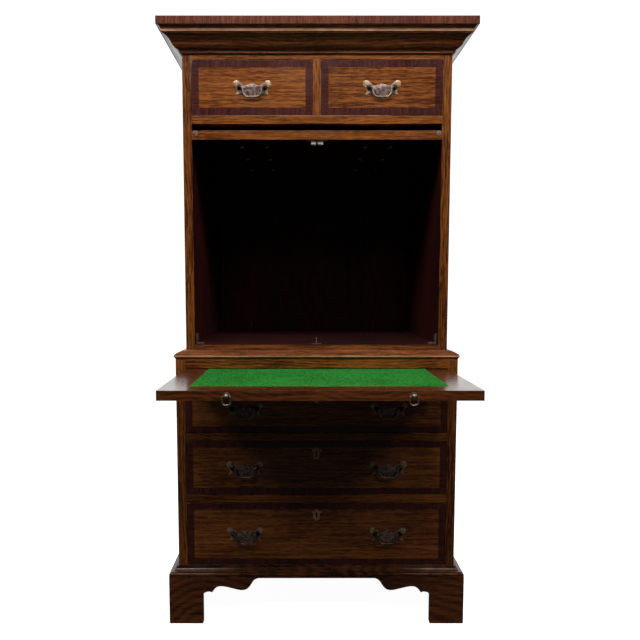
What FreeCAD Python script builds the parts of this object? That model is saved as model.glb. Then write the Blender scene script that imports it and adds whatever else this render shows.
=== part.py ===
"""Oak cupboard in the form of a chest on chest: an upper case whose door, dressed as three long
drawers, swings up and slides back over the cavity, on a lower case with a slide and three drawers.

Frame: +Z up, the front faces -Y, X = 0 is the middle, Z = 0 is the floor under the feet.
Rest pose: the door is slid back under the short drawers and the slide is pulled out."""
import FreeCAD, Part
import Sketcher
import math
import os
import re
from FreeCAD import Placement, Rotation, Vector

DOC = FreeCAD.newDocument("OakCupboard")

# Driving dimensions in millimetres. Each one is a plain number in the spreadsheet.
SIZES = {
    # upper case
    "upper_width": 705, "side_thickness": 24, "back_thickness": 9,
    "sill_height": 13, "cavity_height": 582, "short_rail_height": 22, "short_rail_depth": 44,
    "short_opening_height": 141.5, "top_rail_face": 13.5, "top_rail_thickness": 24,
    "muntin_width": 21, "back_board_width": 108, "back_board_gap": 0.6,
    # cornice
    "cornice_height": 76.5, "cornice_projection": 56, "fascia_height": 19.5, "fascia_return": 2,
    "cornice_cove": 8, "cornice_bead": 3, "ogee_rise": 34, "top_board_thickness": 8,
    # lower case
    "case_step": 25, "lower_side_thickness": 25, "bottom_board_thickness": 23,
    "bottom_opening_height": 175.5, "lower_rail_height": 23, "middle_opening_height": 148.5,
    "middle_rail_height": 21.5, "top_opening_height": 132, "slide_rail_height": 19.5,
    "slide_opening_height": 24, "frieze_rail_height": 22, "rail_depth": 60,
    "lower_top_thickness": 18, "runner_width": 22, "runner_height": 12, "guide_height": 20,
    # waist and base
    "waist_height": 26, "waist_nose": 4.5, "waist_nose_height": 4, "waist_cove": 9, "waist_fillet": 2,
    "foot_height": 133, "plinth_projection": 23.5, "plinth_thickness": 20, "apron_height": 128,
    "foot_width": 91.5, "bracket_reach": 252, "back_bracket_thickness": 18, "foot_block_width": 42,
    "foot_block_lift": 3, "base_fillet": 2, "base_bead": 8, "base_shoulder": 3,
    # drawers
    "front_thickness": 20, "front_gap": 1.5, "running_gap": 0.3, "box_side_gap": 1,
    "box_board": 10, "box_bottom": 6, "box_bottom_lift": 8, "box_drop": 13,
    "short_back_clear": 87, "long_back_clear": 94,
    # slide
    "slide_thickness": 22, "slide_back_clear": 34, "slide_travel": 380, "slide_side_gap": 1,
    "baize_thickness": 1, "baize_margin": 62, "baize_back_margin": 38, "knob_spacing": 400,
    "knob_radius": 6.5, "knob_reach": 9, "knob_stem_radius": 3.2, "rose_radius": 8,
    "rose_thickness": 1.2, "knob_tail_depth": 14, "ring_wire": 1.5, "ring_pin": 1.1,
    "ring_half_width": 9, "ring_drop": 19, "ring_shoulder": 14, "ring_foot": 5.5, "ring_neck_gap": 0.5,
    "ring_bend": 1.8,
    # door
    "door_thickness": 25.2, "door_side_gap": 1.5, "door_bottom_gap": 1.5, "door_proud": 16,
    "door_top_clear": 18, "door_back_clear": 46.1, "pivot_inset": 27, "false_front_thickness": 3,
    "false_rail": 21,
    "shoe_length": 18, "shoe_height": 16, "shoe_depth": 9.5, "groove_depth": 10,
    "pivot_radius": 4, "pivot_bite": 14, "glide_radius": 7, "glide_thickness": 1.1, "glide_inset": 10,
    "glide_offset": 3,
    # pull handles
    "plate_width": 100, "plate_rise": 18, "plate_drop": 27, "plate_thickness": 1.2,
    "post_spacing": 68, "post_reach": 8, "post_radius": 4.2, "post_neck": 3, "post_foot": 5.2,
    "post_head": 3.6,
    "bolt_radius": 2.4, "bolt_end": 6, "nut_width": 9, "nut_height": 4, "pin_radius": 1.5,
    "pivot_play": 0.1, "wire_radius": 2.1, "bail_half_width": 25, "bail_drop": 25,
    "bail_shoulder": 15, "bail_foot": 16, "bail_neck_gap": 0.8, "bail_bend": 3, "lower_handle_spacing": 389,
    # escutcheons
    "shield_width": 30, "shield_height": 36, "shield_thickness": 1.2, "shield_top_gap": 13,
    "keyhole_radius": 2.6, "keyhole_drop": 9, "keyhole_slot": 2.4,
    # catch, strike and stops
    "catch_width": 56, "catch_inset": 6, "catch_plate": 1.2, "ear_width": 13, "ear_gap": 5.2,
    "roller_radius": 5.5, "roller_length": 10, "roller_clear": 0.6, "roller_pin": 1.5, "ear_lap": 3.7,
    "strike_width": 26.5, "strike_depth": 14, "strike_plate": 1.5, "strike_neck": 1.6,
    "strike_head": 2.8, "strike_height": 17, "stop_height": 28, "stop_reach": 22,
    "stop_thickness": 4.5, "stop_width": 12, "stop_clear": 1,
    # one overrun for every cut
    "overrun": 2,
}

# Places worked out from the sizes, in order.
PLACES = {
    "upper_half": "upper_width / 2",
    "upper_inner": "upper_half - side_thickness",
    "lower_half": "upper_half + case_step",
    "lower_inner": "lower_half - lower_side_thickness",
    "pull_projection": "knob_reach + knob_radius",
    "door_drop": "cavity_height - door_top_clear - door_thickness / 2 - door_bottom_gap",
    "upper_depth": "door_drop + pivot_inset - door_proud + door_back_clear + back_thickness",
    "total_depth": "upper_depth + case_step + slide_travel + pull_projection",
    "back": "total_depth / 2",
    "back_inside": "back - back_thickness",
    "upper_front": "back - upper_depth",
    "lower_front": "upper_front - case_step",
    "short_drawer_depth": "back_inside - upper_front - short_back_clear",
    "long_drawer_depth": "back_inside - lower_front - long_back_clear",
    "slide_depth": "back_inside - lower_front - slide_back_clear",
    "baize_depth": "slide_depth - baize_margin - baize_back_margin",
    "bottom_floor": "foot_height + bottom_board_thickness",
    "bottom_opening_top": "bottom_floor + bottom_opening_height",
    "middle_floor": "bottom_opening_top + lower_rail_height",
    "middle_opening_top": "middle_floor + middle_opening_height",
    "top_floor": "middle_opening_top + middle_rail_height",
    "top_opening_top": "top_floor + top_opening_height",
    "slide_floor": "top_opening_top + slide_rail_height",
    "slide_opening_top": "slide_floor + slide_opening_height",
    "lower_top": "slide_opening_top + frieze_rail_height",
    "waist_top": "lower_top + waist_height",
    "cavity_floor_top": "waist_top + sill_height",
    "cavity_top": "cavity_floor_top + cavity_height",
    "short_floor": "cavity_top + short_rail_height",
    "short_opening_top": "short_floor + short_opening_height",
    "cornice_bottom": "short_opening_top + top_rail_face",
    "cornice_top": "cornice_bottom + cornice_height",
    "upper_side_top": "cornice_top - top_board_thickness",
    "short_inner": "muntin_width / 2",
    "short_centre": "(short_inner + upper_inner) / 2",
    "lower_handle": "lower_handle_spacing / 2",
    "slide_face": "lower_front - slide_travel",
    "slide_bottom": "slide_floor + running_gap",
    "slide_top": "slide_bottom + slide_thickness",
    "slide_half": "lower_inner - slide_side_gap",
    "slide_middle": "slide_bottom + slide_thickness / 2",
    "door_half": "upper_inner - door_side_gap",
    "pivot_height": "cavity_floor_top + door_bottom_gap + door_drop",
    "door_length": "door_drop + pivot_inset",
    "pivot_rest": "upper_front - door_proud + door_drop",
    "pivot_forward": "upper_front + door_thickness / 2",
    "door_face": "-door_thickness / 2",
    "false_pitch": "door_length / 3",
    "bottom_third": "-door_drop + false_pitch / 2",
    "middle_third": "bottom_third + false_pitch",
    "top_third": "middle_third + false_pitch",
    "door_inside": "door_thickness / 2",
    "shoe_reach": "door_half + door_side_gap + shoe_depth",
    "roller_centre_x": "(ear_gap + ear_width) / 2",
    "roller_centre_y": "door_inside + catch_plate + roller_radius + roller_clear",
    "catch_foot": "catch_inset - door_drop",
    "strike_centre": "pivot_forward + roller_centre_y",
    "stop_front": "pivot_forward + door_inside + stop_clear",
    "plinth_half": "lower_half + plinth_projection",
    "plinth_front": "lower_front - plinth_projection",
}

# Outlines as hand-chosen shares of the sizes that they follow, right half, from the top.
# pull plate: (x of half the width, z of the rise above or the drop below the posts)
PLATE_BROW_SHARES = ((0, 0.58), (0.16, 0.45), (0.34, 0.28))
PLATE_WING_SHARES = ((0.34, 0.28), (0.5, 0.42), (0.64, 0.8), (0.8, 1), (0.95, 0.86), (1, 0.52), (0.9, 0.12))
PLATE_TIP_SHARES = ((0.9, 0.12), (0.8, -0.2), (0.8, -0.44), (0.9, -0.68))
PLATE_SKIRT_SHARES = ((0.9, -0.68), (0.72, -0.62), (0.56, -0.6), (0.42, -0.8), (0.2, -0.94), (0, -1))
# escutcheon: (x of half the width, z of half the height)
SHIELD_TOP_SHARES = ((0, 1), (0.22, 0.72), (0.5, 0.66))
SHIELD_EAR_SHARES = ((0.5, 0.66), (0.86, 0.8), (1, 0.5), (0.78, 0.2))
SHIELD_SIDE_SHARES = ((0.78, 0.2), (0.9, -0.1), (0.74, -0.4), (0.44, -0.5))
SHIELD_POINT_SHARES = ((0.44, -0.5), (0.26, -0.62), (0, -1))
# bracket foot: (distance from the inner foot edge of the bracket's reach, z of the apron height)
FOOT_HEEL_SHARES = ((0, 0.56), (0.012, 0.65), (0.117, 0.704))
FOOT_CUSP_SHARE = (0.157, 0.686)
FOOT_SCROLL_SHARES = ((0.157, 0.686), (0.19, 0.745), (0.24, 0.802), (0.32, 0.82), (0.44, 0.795),
                      (0.55, 0.76), (0.65, 0.736), (0.73, 0.75), (0.79, 0.81), (0.84, 0.905),
                      (0.885, 0.97), (0.93, 0.994), (1, 1))
# ogee of the cornice: (offset of the run from foot bead to bead, z of its rise)
OGEE_FOOT_SHARE = (0.15, 0.08)
OGEE_BELLY_SHARE = (0.34, 0.2)
OGEE_TURN_SHARE = (0.48, 0.42)
OGEE_HOLLOW_SHARE = (0.64, 0.76)
OGEE_SHARES_OF_BEAD = (0.92, 1)

WORD = re.compile(r"[a-z_]+")

# A sketch numbers the start, the end and the centre of an edge from 1. Its own origin and horizontal axis
# have the first of these numbers below zero, its vertical axis the second.
START, END, CENTRE = range(1, 4)
SKETCH_ORIGIN = HORIZONTAL_AXIS = -START
VERTICAL_AXIS = -END


def formula(text):
    """The same formula with each name led by the object that holds it."""
    def lead(match):
        word = match.group(0)
        if word in SIZES:
            return "Sizes." + word
        return "Places." + word if word in PLACES else word
    return WORD.sub(lead, text)


def make_sheet():
    """Write the driving dimensions in the spreadsheet."""
    sheet = DOC.addObject("Spreadsheet::Sheet", "Sizes")
    for row, (alias, number) in enumerate(SIZES.items(), start=1):
        sheet.set(f"A{row}", alias)
        sheet.set(f"B{row}", str(number))
        sheet.setAlias(f"B{row}", alias)
    DOC.recompute()
    return sheet


def make_places():
    """Hold the worked-out places in a variable set bound to the sheet."""
    places = DOC.addObject("App::VarSet", "Places")
    for name, text in PLACES.items():
        places.addProperty("App::PropertyFloat", name)
        places.setExpression(name, formula(text))
        DOC.recompute()
    return places


SHEET = make_sheet()
PLACED = make_places()


class Values:
    """Sizes and places as numbers, for shapes that no primitive gives."""

    def __getattr__(self, name):
        return float(SHEET.get(name)) if name in SIZES else getattr(PLACED, name)


V = Values()
NODES = {}


def bind(item, prop, text):
    """Bind one property to a formula of the sheet's names."""
    item.setExpression(prop, formula(text))


def value_of(text):
    """The number that a formula gives now."""
    return float(PLACED.evalExpression(formula(text)))


def publish(name, item):
    """Make an object the sub-part of that name."""
    item.Label = name
    NODES[name] = item
    return item


def board(label, x, y, z):
    """A board between two formulas on each axis."""
    box = DOC.addObject("Part::Box", label)
    spans = (("Length", "x", x), ("Width", "y", y), ("Height", "z", z))
    for prop, axis, (low, high) in spans:
        bind(box, prop, f"({high}) - ({low})")
        bind(box, "Placement.Base." + axis, low)
    return box


TURNS = {"x": Rotation(Vector(0, 1, 0), 90), "y": Rotation(Vector(1, 0, 0), -90), "z": Rotation()}


def rod(label, along, radius, start, length):
    """A cylinder along an axis, from a start point given by three formulas."""
    cylinder = DOC.addObject("Part::Cylinder", label)
    cylinder.Placement = Placement(Vector(), TURNS[along])
    bind(cylinder, "Radius", radius)
    bind(cylinder, "Height", length)
    for axis, text in zip("xyz", start):
        bind(cylinder, "Placement.Base." + axis, text)
    return cylinder


def group(label, items):
    """Separate solids kept together in one object."""
    compound = DOC.addObject("Part::Compound", label)
    compound.Links = items
    return compound


def cut(label, base, tools):
    """A base with its tools taken away."""
    result = DOC.addObject("Part::Cut", label)
    result.Base = base
    result.Tool = tools[0] if len(tools) == 1 else group(label + "_tools", tools)
    return result


def fuse(label, items):
    """Several primitives as one solid."""
    result = DOC.addObject("Part::MultiFuse", label)
    result.Shapes = items
    return result


def shaped(label, shape):
    """An object that holds a shape made by Part's functions."""
    item = DOC.addObject("Part::Feature", label)
    item.Shape = shape
    return item


def held_point(sketch, edge, place, corner):
    """Hold one point of a sketch's edge at two formulas, measured from the sketch's origin."""
    for kind, axis, text in zip(("DistanceX", "DistanceY"), (VERTICAL_AXIS, HORIZONTAL_AXIS), corner):
        if text == "0":
            sketch.addConstraint(Sketcher.Constraint("PointOnObject", edge, place, axis))
        else:
            number = sketch.addConstraint(
                Sketcher.Constraint(kind, SKETCH_ORIGIN, START, edge, place, value_of(text)))
            bind(sketch, f"Constraints[{number}]", text)


def new_sketch(body, role, label, level="0"):
    """A sketch on one of the body's own planes, moved along the plane's normal to a level."""
    plane = next(item for item in body.Origin.OriginFeatures if item.Role == role)
    sketch = body.newObject("Sketcher::SketchObject", label)
    sketch.AttachmentSupport = (plane, [""])
    sketch.MapMode = "FlatFace"
    bind(sketch, "AttachmentOffset.Base.z", level)
    return sketch


def add_outline(sketch, corners):
    """A closed outline of straight lines, each corner given by two formulas."""
    first = sketch.GeometryCount
    rough = [Vector(value_of(x), value_of(y), 0) for x, y in corners]
    for start, end in zip(rough, rough[1:] + rough[:1]):
        sketch.addGeometry(Part.LineSegment(start, end))
    for index, corner in enumerate(corners):
        before = first + (index - 1) % len(corners)
        sketch.addConstraint(Sketcher.Constraint("Coincident", before, END, first + index, START))
        held_point(sketch, first + index, START, corner)


def rectangle(x, y):
    """The four corners between two formulas on each axis."""
    return [(x[0], y[0]), (x[1], y[0]), (x[1], y[1]), (x[0], y[1])]


def add_circle(sketch, centre, radius):
    """A circle given by the formulas of its centre and its radius."""
    middle = Vector(value_of(centre[0]), value_of(centre[1]), 0)
    edge = sketch.addGeometry(Part.Circle(middle, Vector(0, 0, 1), value_of(radius)))
    number = sketch.addConstraint(Sketcher.Constraint("Radius", edge, value_of(radius)))
    bind(sketch, f"Constraints[{number}]", radius)
    held_point(sketch, edge, CENTRE, centre)


def add_feature(kind, sketch, length):
    """A Pad or a Pocket of a sketch in the sketch's own body."""
    body = sketch.getParentGeoFeatureGroup()
    feature = body.newObject("PartDesign::" + kind, f"{sketch.Name}_{kind.lower()}")
    feature.Profile = (sketch, [""])
    bind(feature, "Length", length)
    DOC.recompute()
    return feature


def add_turning(sketch):
    """A full turn of a sketch's outline about the sketch's vertical axis."""
    turned = sketch.getParentGeoFeatureGroup().newObject("PartDesign::Revolution", sketch.Name + "_turned")
    turned.Profile = (sketch, [""])
    turned.ReferenceAxis = (sketch, ["V_Axis"])
    turned.Angle = 360
    DOC.recompute()
    return turned


def mirrored(points):
    """The left half of an outline, from the right half, in the opposite order."""
    return [(-x, z) for x, z in reversed(points)]


def line_edge(start, end):
    """A straight edge between two points of the XZ plane."""
    return Part.makeLine(Vector(start[0], 0, start[1]), Vector(end[0], 0, end[1]))


def arc_edge(start, middle, end):
    """An arc through three points of the XZ plane."""
    return Part.Arc(*(Vector(x, 0, z) for x, z in (start, middle, end))).toShape()


def curve_edge(points):
    """A smooth curve through points of the XZ plane."""
    curve = Part.BSplineCurve()
    curve.interpolate([Vector(x, 0, z) for x, z in points])
    return curve.toShape()


def symmetric_face(runs):
    """A face whose right half is given by runs of points; a run of two is straight."""
    edges = []
    for run in runs + [mirrored(run) for run in reversed(runs)]:
        edges.append(line_edge(*run) if len(run) == 2 else curve_edge(run))
    return Part.Face(Part.Wire(edges))


def scaled(shares, width, height):
    """Points from shares of two sizes."""
    return [(x * width, z * height) for x, z in shares]


# Cases


def upper_side(name, sign):
    """One side of the upper case, with the groove in which the door's shoe slides."""
    outer = "upper_half" if sign > 0 else "-upper_half"
    inner = "upper_inner" if sign > 0 else "-upper_inner"
    low, high = (inner, outer) if sign > 0 else (outer, inner)
    panel = board(name + "_panel", (low, high), ("upper_front", "back"), ("lower_top", "upper_side_top"))
    groove_low = "upper_inner - overrun" if sign > 0 else "-upper_inner - groove_depth"
    groove_high = "upper_inner + groove_depth" if sign > 0 else "-upper_inner + overrun"
    groove = board(
        name + "_groove", (groove_low, groove_high),
        ("pivot_forward - shoe_length / 2 - running_gap", "pivot_rest + shoe_length / 2 + running_gap"),
        ("pivot_height - shoe_height / 2 - running_gap", "pivot_height + shoe_height / 2 + running_gap"))
    publish(name, cut(name + "_grooved", panel, [groove]))


def back_boards():
    """Vertical boards behind the cavity and a plain panel behind the lower case."""
    boards = []
    count = max(1, round(2 * V.upper_inner / V.back_board_width))
    for index in range(count):
        low = f"-upper_inner + {index} * 2 * upper_inner / {count}"
        high = f"-upper_inner + {index + 1} * 2 * upper_inner / {count}"
        gap = "" if index == count - 1 else " - back_board_gap"
        boards.append(board(f"back_board_{index + 1}", (low, high + gap), ("back_inside", "back"),
                            ("lower_top", "upper_side_top")))
    boards.append(board("lower_back_panel", ("-lower_inner", "lower_inner"), ("back_inside", "back"),
                        ("foot_height", "lower_top")))
    publish("back_boards", group("back_boards_group", boards))


def upper_case():
    """Sides, rails, floor and top of the upper case."""
    upper_side("upper_left_side", -1)
    upper_side("upper_right_side", 1)
    across = ("-upper_inner", "upper_inner")
    publish("upper_top_rail", board("top_rail_board", across,
                                    ("upper_front", "upper_front + top_rail_thickness"),
                                    ("short_opening_top", "upper_side_top")))
    publish("top_board", board("top_board_panel", ("-upper_half", "upper_half"),
                               ("upper_front", "back"), ("upper_side_top", "cornice_top")))
    publish("short_drawer_rail", board("short_rail_board", across,
                                       ("upper_front", "upper_front + short_rail_depth"),
                                       ("cavity_top", "short_floor")))
    post = board("muntin_post", ("-short_inner", "short_inner"),
                 ("upper_front", "upper_front + short_rail_depth"), ("short_floor", "short_opening_top"))
    guide = board("muntin_guide", ("-short_inner", "short_inner"),
                  ("upper_front + short_rail_depth", "back_inside"),
                  ("short_floor", "short_floor + guide_height"))
    publish("drawer_muntin", group("muntin_group", [post, guide]))
    publish("cavity_floor", board("cavity_floor_board", across, ("upper_front", "back_inside"),
                                  ("waist_top", "cavity_floor_top")))


def lower_case():
    """Sides, rails, top and bottom of the lower case."""
    depth = ("lower_front", "back")
    height = ("foot_height", "lower_top")
    publish("lower_left_side", board("lower_left_panel", ("-lower_half", "-lower_inner"), depth, height))
    publish("lower_right_side", board("lower_right_panel", ("lower_inner", "lower_half"), depth, height))
    across = ("-lower_inner", "lower_inner")
    rail_run = ("lower_front", "lower_front + rail_depth")
    levels = (("frieze_rail", "slide_opening_top", "lower_top"),
              ("slide_rail", "top_opening_top", "slide_floor"),
              ("middle_rail", "middle_opening_top", "top_floor"),
              ("lower_rail", "bottom_opening_top", "middle_floor"))
    rails = [board(name, across, rail_run, (low, high)) for name, low, high in levels]
    publish("lower_rails", group("lower_rails_group", rails))
    publish("lower_top_board", board("lower_top_panel", across, ("lower_front + rail_depth", "back_inside"),
                                     ("lower_top - lower_top_thickness", "lower_top")))
    publish("bottom_board", board("bottom_panel", across, ("lower_front", "back_inside"),
                                  ("foot_height", "bottom_floor")))


def drawer_runners():
    """The strips on which the drawers and the slide run."""
    strips = []
    left = ("-lower_inner", "-lower_inner + runner_width")
    right = ("lower_inner - runner_width", "lower_inner")
    for level in ("middle_floor", "top_floor", "slide_floor"):
        height = (f"{level} - runner_height", level)
        run = ("lower_front + rail_depth", "back_inside")
        strips.append(board(f"left_runner_{level}", left, run, height))
        strips.append(board(f"right_runner_{level}", right, run, height))
    height = ("short_floor - runner_height", "short_floor")
    run = ("upper_front + short_rail_depth", "back_inside")
    strips.append(board("left_short_runner", ("-upper_inner", "-upper_inner + runner_width"), run, height))
    strips.append(board("right_short_runner", ("upper_inner - runner_width", "upper_inner"), run, height))
    strips.append(board("middle_short_runner", ("-runner_width", "runner_width"), run, height))
    publish("drawer_runners", group("drawer_runners_group", strips))


# Mouldings


def mitred_runs(profile, half, front, reach):
    """A profile (offset outwards, z) run round the front and both sides, mitred at the corners."""
    front_run = profile.copy()
    front_run.rotate(Vector(), Vector(0, 0, 1), -90)
    front_run.translate(Vector(-half - reach, front, 0))
    front_run = front_run.extrude(Vector(2 * (half + reach), 0, 0))
    side_run = profile.copy()
    side_run.translate(Vector(half, front - reach, 0))
    side_run = side_run.extrude(Vector(0, V.back - front + reach, 0))
    low = V.foot_height - V.overrun
    tall = V.cornice_top + V.overrun
    corner = Vector(half + reach, front - reach, low)
    root = Vector(0, front + half, low)
    plan = [corner, root, Vector(-corner.x, corner.y, low), corner]
    wedge = Part.Face(Part.makePolygon(plan)).extrude(Vector(0, 0, tall))
    right = side_run.cut(wedge)
    left = right.mirror(Vector(), Vector(1, 0, 0))
    return Part.makeCompound([front_run.common(wedge), left, right])


def closed_face(edges):
    """A face from edges in the XZ plane, closed by a straight edge if it needs one."""
    wire = Part.Wire(edges)
    if not wire.isClosed():
        ends = wire.OrderedVertexes
        wire = Part.Wire(edges + [Part.makeLine(ends[-1].Point, ends[0].Point)])
    return Part.Face(wire)


def cornice_profile():
    """Foot bead, ogee, bead, cove and fascia, from the bottom of the cornice up."""
    base = V.cornice_bottom
    bead = V.cornice_bead
    run_top = V.cornice_projection - V.fascia_return - V.cornice_cove
    ogee_low = 2 * bead
    ogee_high = ogee_low + V.ogee_rise

    def ogee(share):
        return (share[0] * run_top, base + ogee_low + share[1] * (ogee_high - ogee_low))

    foot = ogee(OGEE_FOOT_SHARE)
    turn = ogee(OGEE_TURN_SHARE)
    crown = ogee(OGEE_SHARES_OF_BEAD)
    bead_low = (crown[0], crown[1] + bead / 2)
    bead_high = (crown[0], bead_low[1] + 2 * bead)
    cove_low = (run_top, bead_high[1])
    cove_high = (run_top + V.cornice_cove, base + V.cornice_height - V.fascia_height)
    cove_middle = (cove_low[0] + (1 - math.sqrt(0.5)) * (cove_high[0] - cove_low[0]),
                   cove_low[1] + math.sqrt(0.5) * (cove_high[1] - cove_low[1]))
    lip = (V.cornice_projection, cove_high[1])
    edges = [
        line_edge((0, base), (bead, base)),
        arc_edge((bead, base), (2 * bead, base + bead), (bead, base + ogee_low)),
        line_edge((bead, base + ogee_low), (foot[0], base + ogee_low)),
        line_edge((foot[0], base + ogee_low), foot),
        arc_edge(foot, ogee(OGEE_BELLY_SHARE), turn),
        arc_edge(turn, ogee(OGEE_HOLLOW_SHARE), crown),
        line_edge(crown, bead_low),
        arc_edge(bead_low, (bead_low[0] + bead, bead_low[1] + bead), bead_high),
        line_edge(bead_high, cove_low),
        arc_edge(cove_low, cove_middle, cove_high),
        line_edge(cove_high, lip),
        line_edge(lip, (V.cornice_projection, V.cornice_top)),
        line_edge((V.cornice_projection, V.cornice_top), (0, V.cornice_top)),
    ]
    return closed_face(edges)


def waist_profile():
    """Sloping top, fillet, nose and cove, offset from the lower case's faces."""
    low = V.lower_top
    nose_top = low + V.waist_cove + V.waist_nose_height
    fillet_top = nose_top + V.waist_fillet
    slope_start = (-V.case_step + V.waist_fillet, V.waist_top)
    slope_end = (V.waist_nose - V.waist_fillet, fillet_top)
    slope_middle = ((slope_start[0] + slope_end[0]) / 2,
                    (slope_start[1] + slope_end[1]) / 2 + V.waist_fillet)
    cove_middle = (V.waist_nose * (1 - math.sqrt(0.5)), low + V.waist_cove * math.sqrt(0.5))
    edges = [
        line_edge((-V.case_step, low), (0, low)),
        arc_edge((0, low), cove_middle, (V.waist_nose, low + V.waist_cove)),
        line_edge((V.waist_nose, low + V.waist_cove), (V.waist_nose, nose_top)),
        line_edge((V.waist_nose, nose_top), (slope_end[0], nose_top)),
        line_edge((slope_end[0], nose_top), slope_end),
        arc_edge(slope_end, slope_middle, slope_start),
        line_edge(slope_start, (-V.case_step, V.waist_top)),
    ]
    return closed_face(edges)


def base_profile():
    """Shoulder, cove, fillet and bead on the top of the plinth."""
    low = V.foot_height
    top = V.bottom_floor
    bead_top = low + V.base_bead
    cove_low = (V.plinth_projection - V.base_fillet - V.base_bead / 2, bead_top + V.base_fillet)
    cove_high = (V.base_shoulder, top - V.base_fillet)
    cove_middle = (cove_high[0] + (1 - math.sqrt(0.5)) * (cove_low[0] - cove_high[0]),
                   cove_low[1] + (1 - math.sqrt(0.5)) * (cove_high[1] - cove_low[1]))
    bead_face = V.plinth_projection - V.base_bead / 2
    edges = [
        line_edge((0, low), (bead_face, low)),
        arc_edge((bead_face, low), (V.plinth_projection, low + V.base_bead / 2), (bead_face, bead_top)),
        line_edge((bead_face, bead_top), (cove_low[0], bead_top)),
        line_edge((cove_low[0], bead_top), cove_low),
        arc_edge(cove_low, cove_middle, cove_high),
        line_edge(cove_high, (V.base_shoulder, top)),
        line_edge((V.base_shoulder, top), (0, top)),
    ]
    return closed_face(edges)


def mouldings():
    """Cornice, waist and base mouldings, each in three mitred lengths."""
    runs = (("cornice_moulding", cornice_profile(), V.upper_half, V.upper_front, V.cornice_projection),
            ("waist_moulding", waist_profile(), V.lower_half, V.lower_front, V.waist_nose),
            ("base_moulding", base_profile(), V.lower_half, V.lower_front, V.plinth_projection))
    for name, profile, half, front, reach in runs:
        publish(name, shaped(name + "_runs", mitred_runs(profile, half, front, reach)))


# Feet


def foot_outline(length):
    """The face of a plinth board of that length: two scrolled brackets and the apron between."""
    half = length / 2
    edge = half - V.foot_width
    reach = V.bracket_reach - V.foot_width

    def inwards(shares):
        return [(edge - x * reach, z * V.apron_height) for x, z in shares]

    heel = inwards(FOOT_HEEL_SHARES)
    cusp = inwards((FOOT_CUSP_SHARE,))[0]
    scroll = inwards(FOOT_SCROLL_SHARES)
    runs = [
        [(0, V.foot_height), (half, V.foot_height)], [(half, V.foot_height), (half, 0)],
        [(half, 0), (edge, 0)], [(edge, 0), heel[0]], heel, [heel[-1], cusp], scroll,
        [scroll[-1], (0, V.apron_height)],
    ]
    return symmetric_face(runs)


def plinth_board(length):
    """A plinth board lying along X, its outer face on Y = 0, its ends mitred inwards."""
    thick = V.plinth_thickness
    solid = foot_outline(length).extrude(Vector(0, thick, 0))
    corner = Vector(length / 2, 0, -V.overrun)
    plan = [corner, Vector(0, length / 2, -V.overrun), Vector(-corner.x, 0, -V.overrun), corner]
    wedge = Part.Face(Part.makePolygon(plan)).extrude(Vector(0, 0, V.foot_height + 2 * V.overrun))
    return solid.common(wedge)


def side_plinth():
    """The right side's plinth board, mitred at the front and square at the back."""
    depth = V.back - V.plinth_front
    solid = foot_outline(depth).extrude(Vector(0, V.plinth_thickness, 0))
    corner = Vector(-depth / 2, 0, -V.overrun)
    plan = [corner, Vector(-depth / 2, V.plinth_thickness, -V.overrun),
            Vector(-depth / 2 + V.plinth_thickness, V.plinth_thickness, -V.overrun), corner]
    wedge = Part.Face(Part.makePolygon(plan)).extrude(Vector(0, 0, V.foot_height + 2 * V.overrun))
    solid = solid.cut(wedge)
    solid.rotate(Vector(), Vector(0, 0, 1), 90)
    solid.translate(Vector(V.plinth_half, (V.back + V.plinth_front) / 2, 0))
    return solid


def bracket_plinth():
    """Front and side plinth boards, back brackets and the blocks glued inside the feet."""
    front = plinth_board(2 * V.plinth_half)
    front.translate(Vector(0, V.plinth_front, 0))
    right = side_plinth()
    left = right.mirror(Vector(), Vector(1, 0, 0))
    boards = shaped("plinth_boards", Part.makeCompound([front, left, right]))
    inside = "plinth_half - plinth_thickness"
    pieces = [boards]
    for side, sign in (("left", -1), ("right", 1)):
        def span(low, high):
            return (low, high) if sign > 0 else (f"-({high})", f"-({low})")
        pieces.append(board(f"{side}_back_bracket", span(f"{inside} - foot_width", inside),
                            ("back - back_bracket_thickness", "back"), ("0", "foot_height")))
        block = span(f"{inside} - foot_block_width", inside)
        lift = ("foot_block_lift", "foot_height")
        front_face = "plinth_front + plinth_thickness"
        back_face = "back - back_bracket_thickness"
        front_run = (front_face, f"{front_face} + foot_block_width")
        back_run = (f"{back_face} - foot_block_width", back_face)
        pieces.append(board(f"{side}_front_block", block, front_run, lift))
        pieces.append(board(f"{side}_back_block", block, back_run, lift))
    publish("bracket_plinth", group("bracket_plinth_group", pieces))


# Pull handles


def pull_plate():
    """The wing-shaped plate behind a bail, drilled for its two bolts."""
    half = V.plate_width / 2

    def points(shares):
        return [(x * half, z * (V.plate_rise if z > 0 else V.plate_drop)) for x, z in shares]

    runs = [points(shares) for shares in
            (PLATE_BROW_SHARES, PLATE_WING_SHARES, PLATE_TIP_SHARES, PLATE_SKIRT_SHARES)]
    plate = symmetric_face(runs).extrude(Vector(0, -V.plate_thickness, 0))
    for sign in (-1, 1):
        plate = plate.cut(Part.makeCylinder(V.bolt_radius + V.pivot_play, 2 * V.plate_thickness,
                                            Vector(sign * V.post_spacing / 2, V.plate_thickness / 2, 0),
                                            Vector(0, -1, 0)))
    return plate


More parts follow.
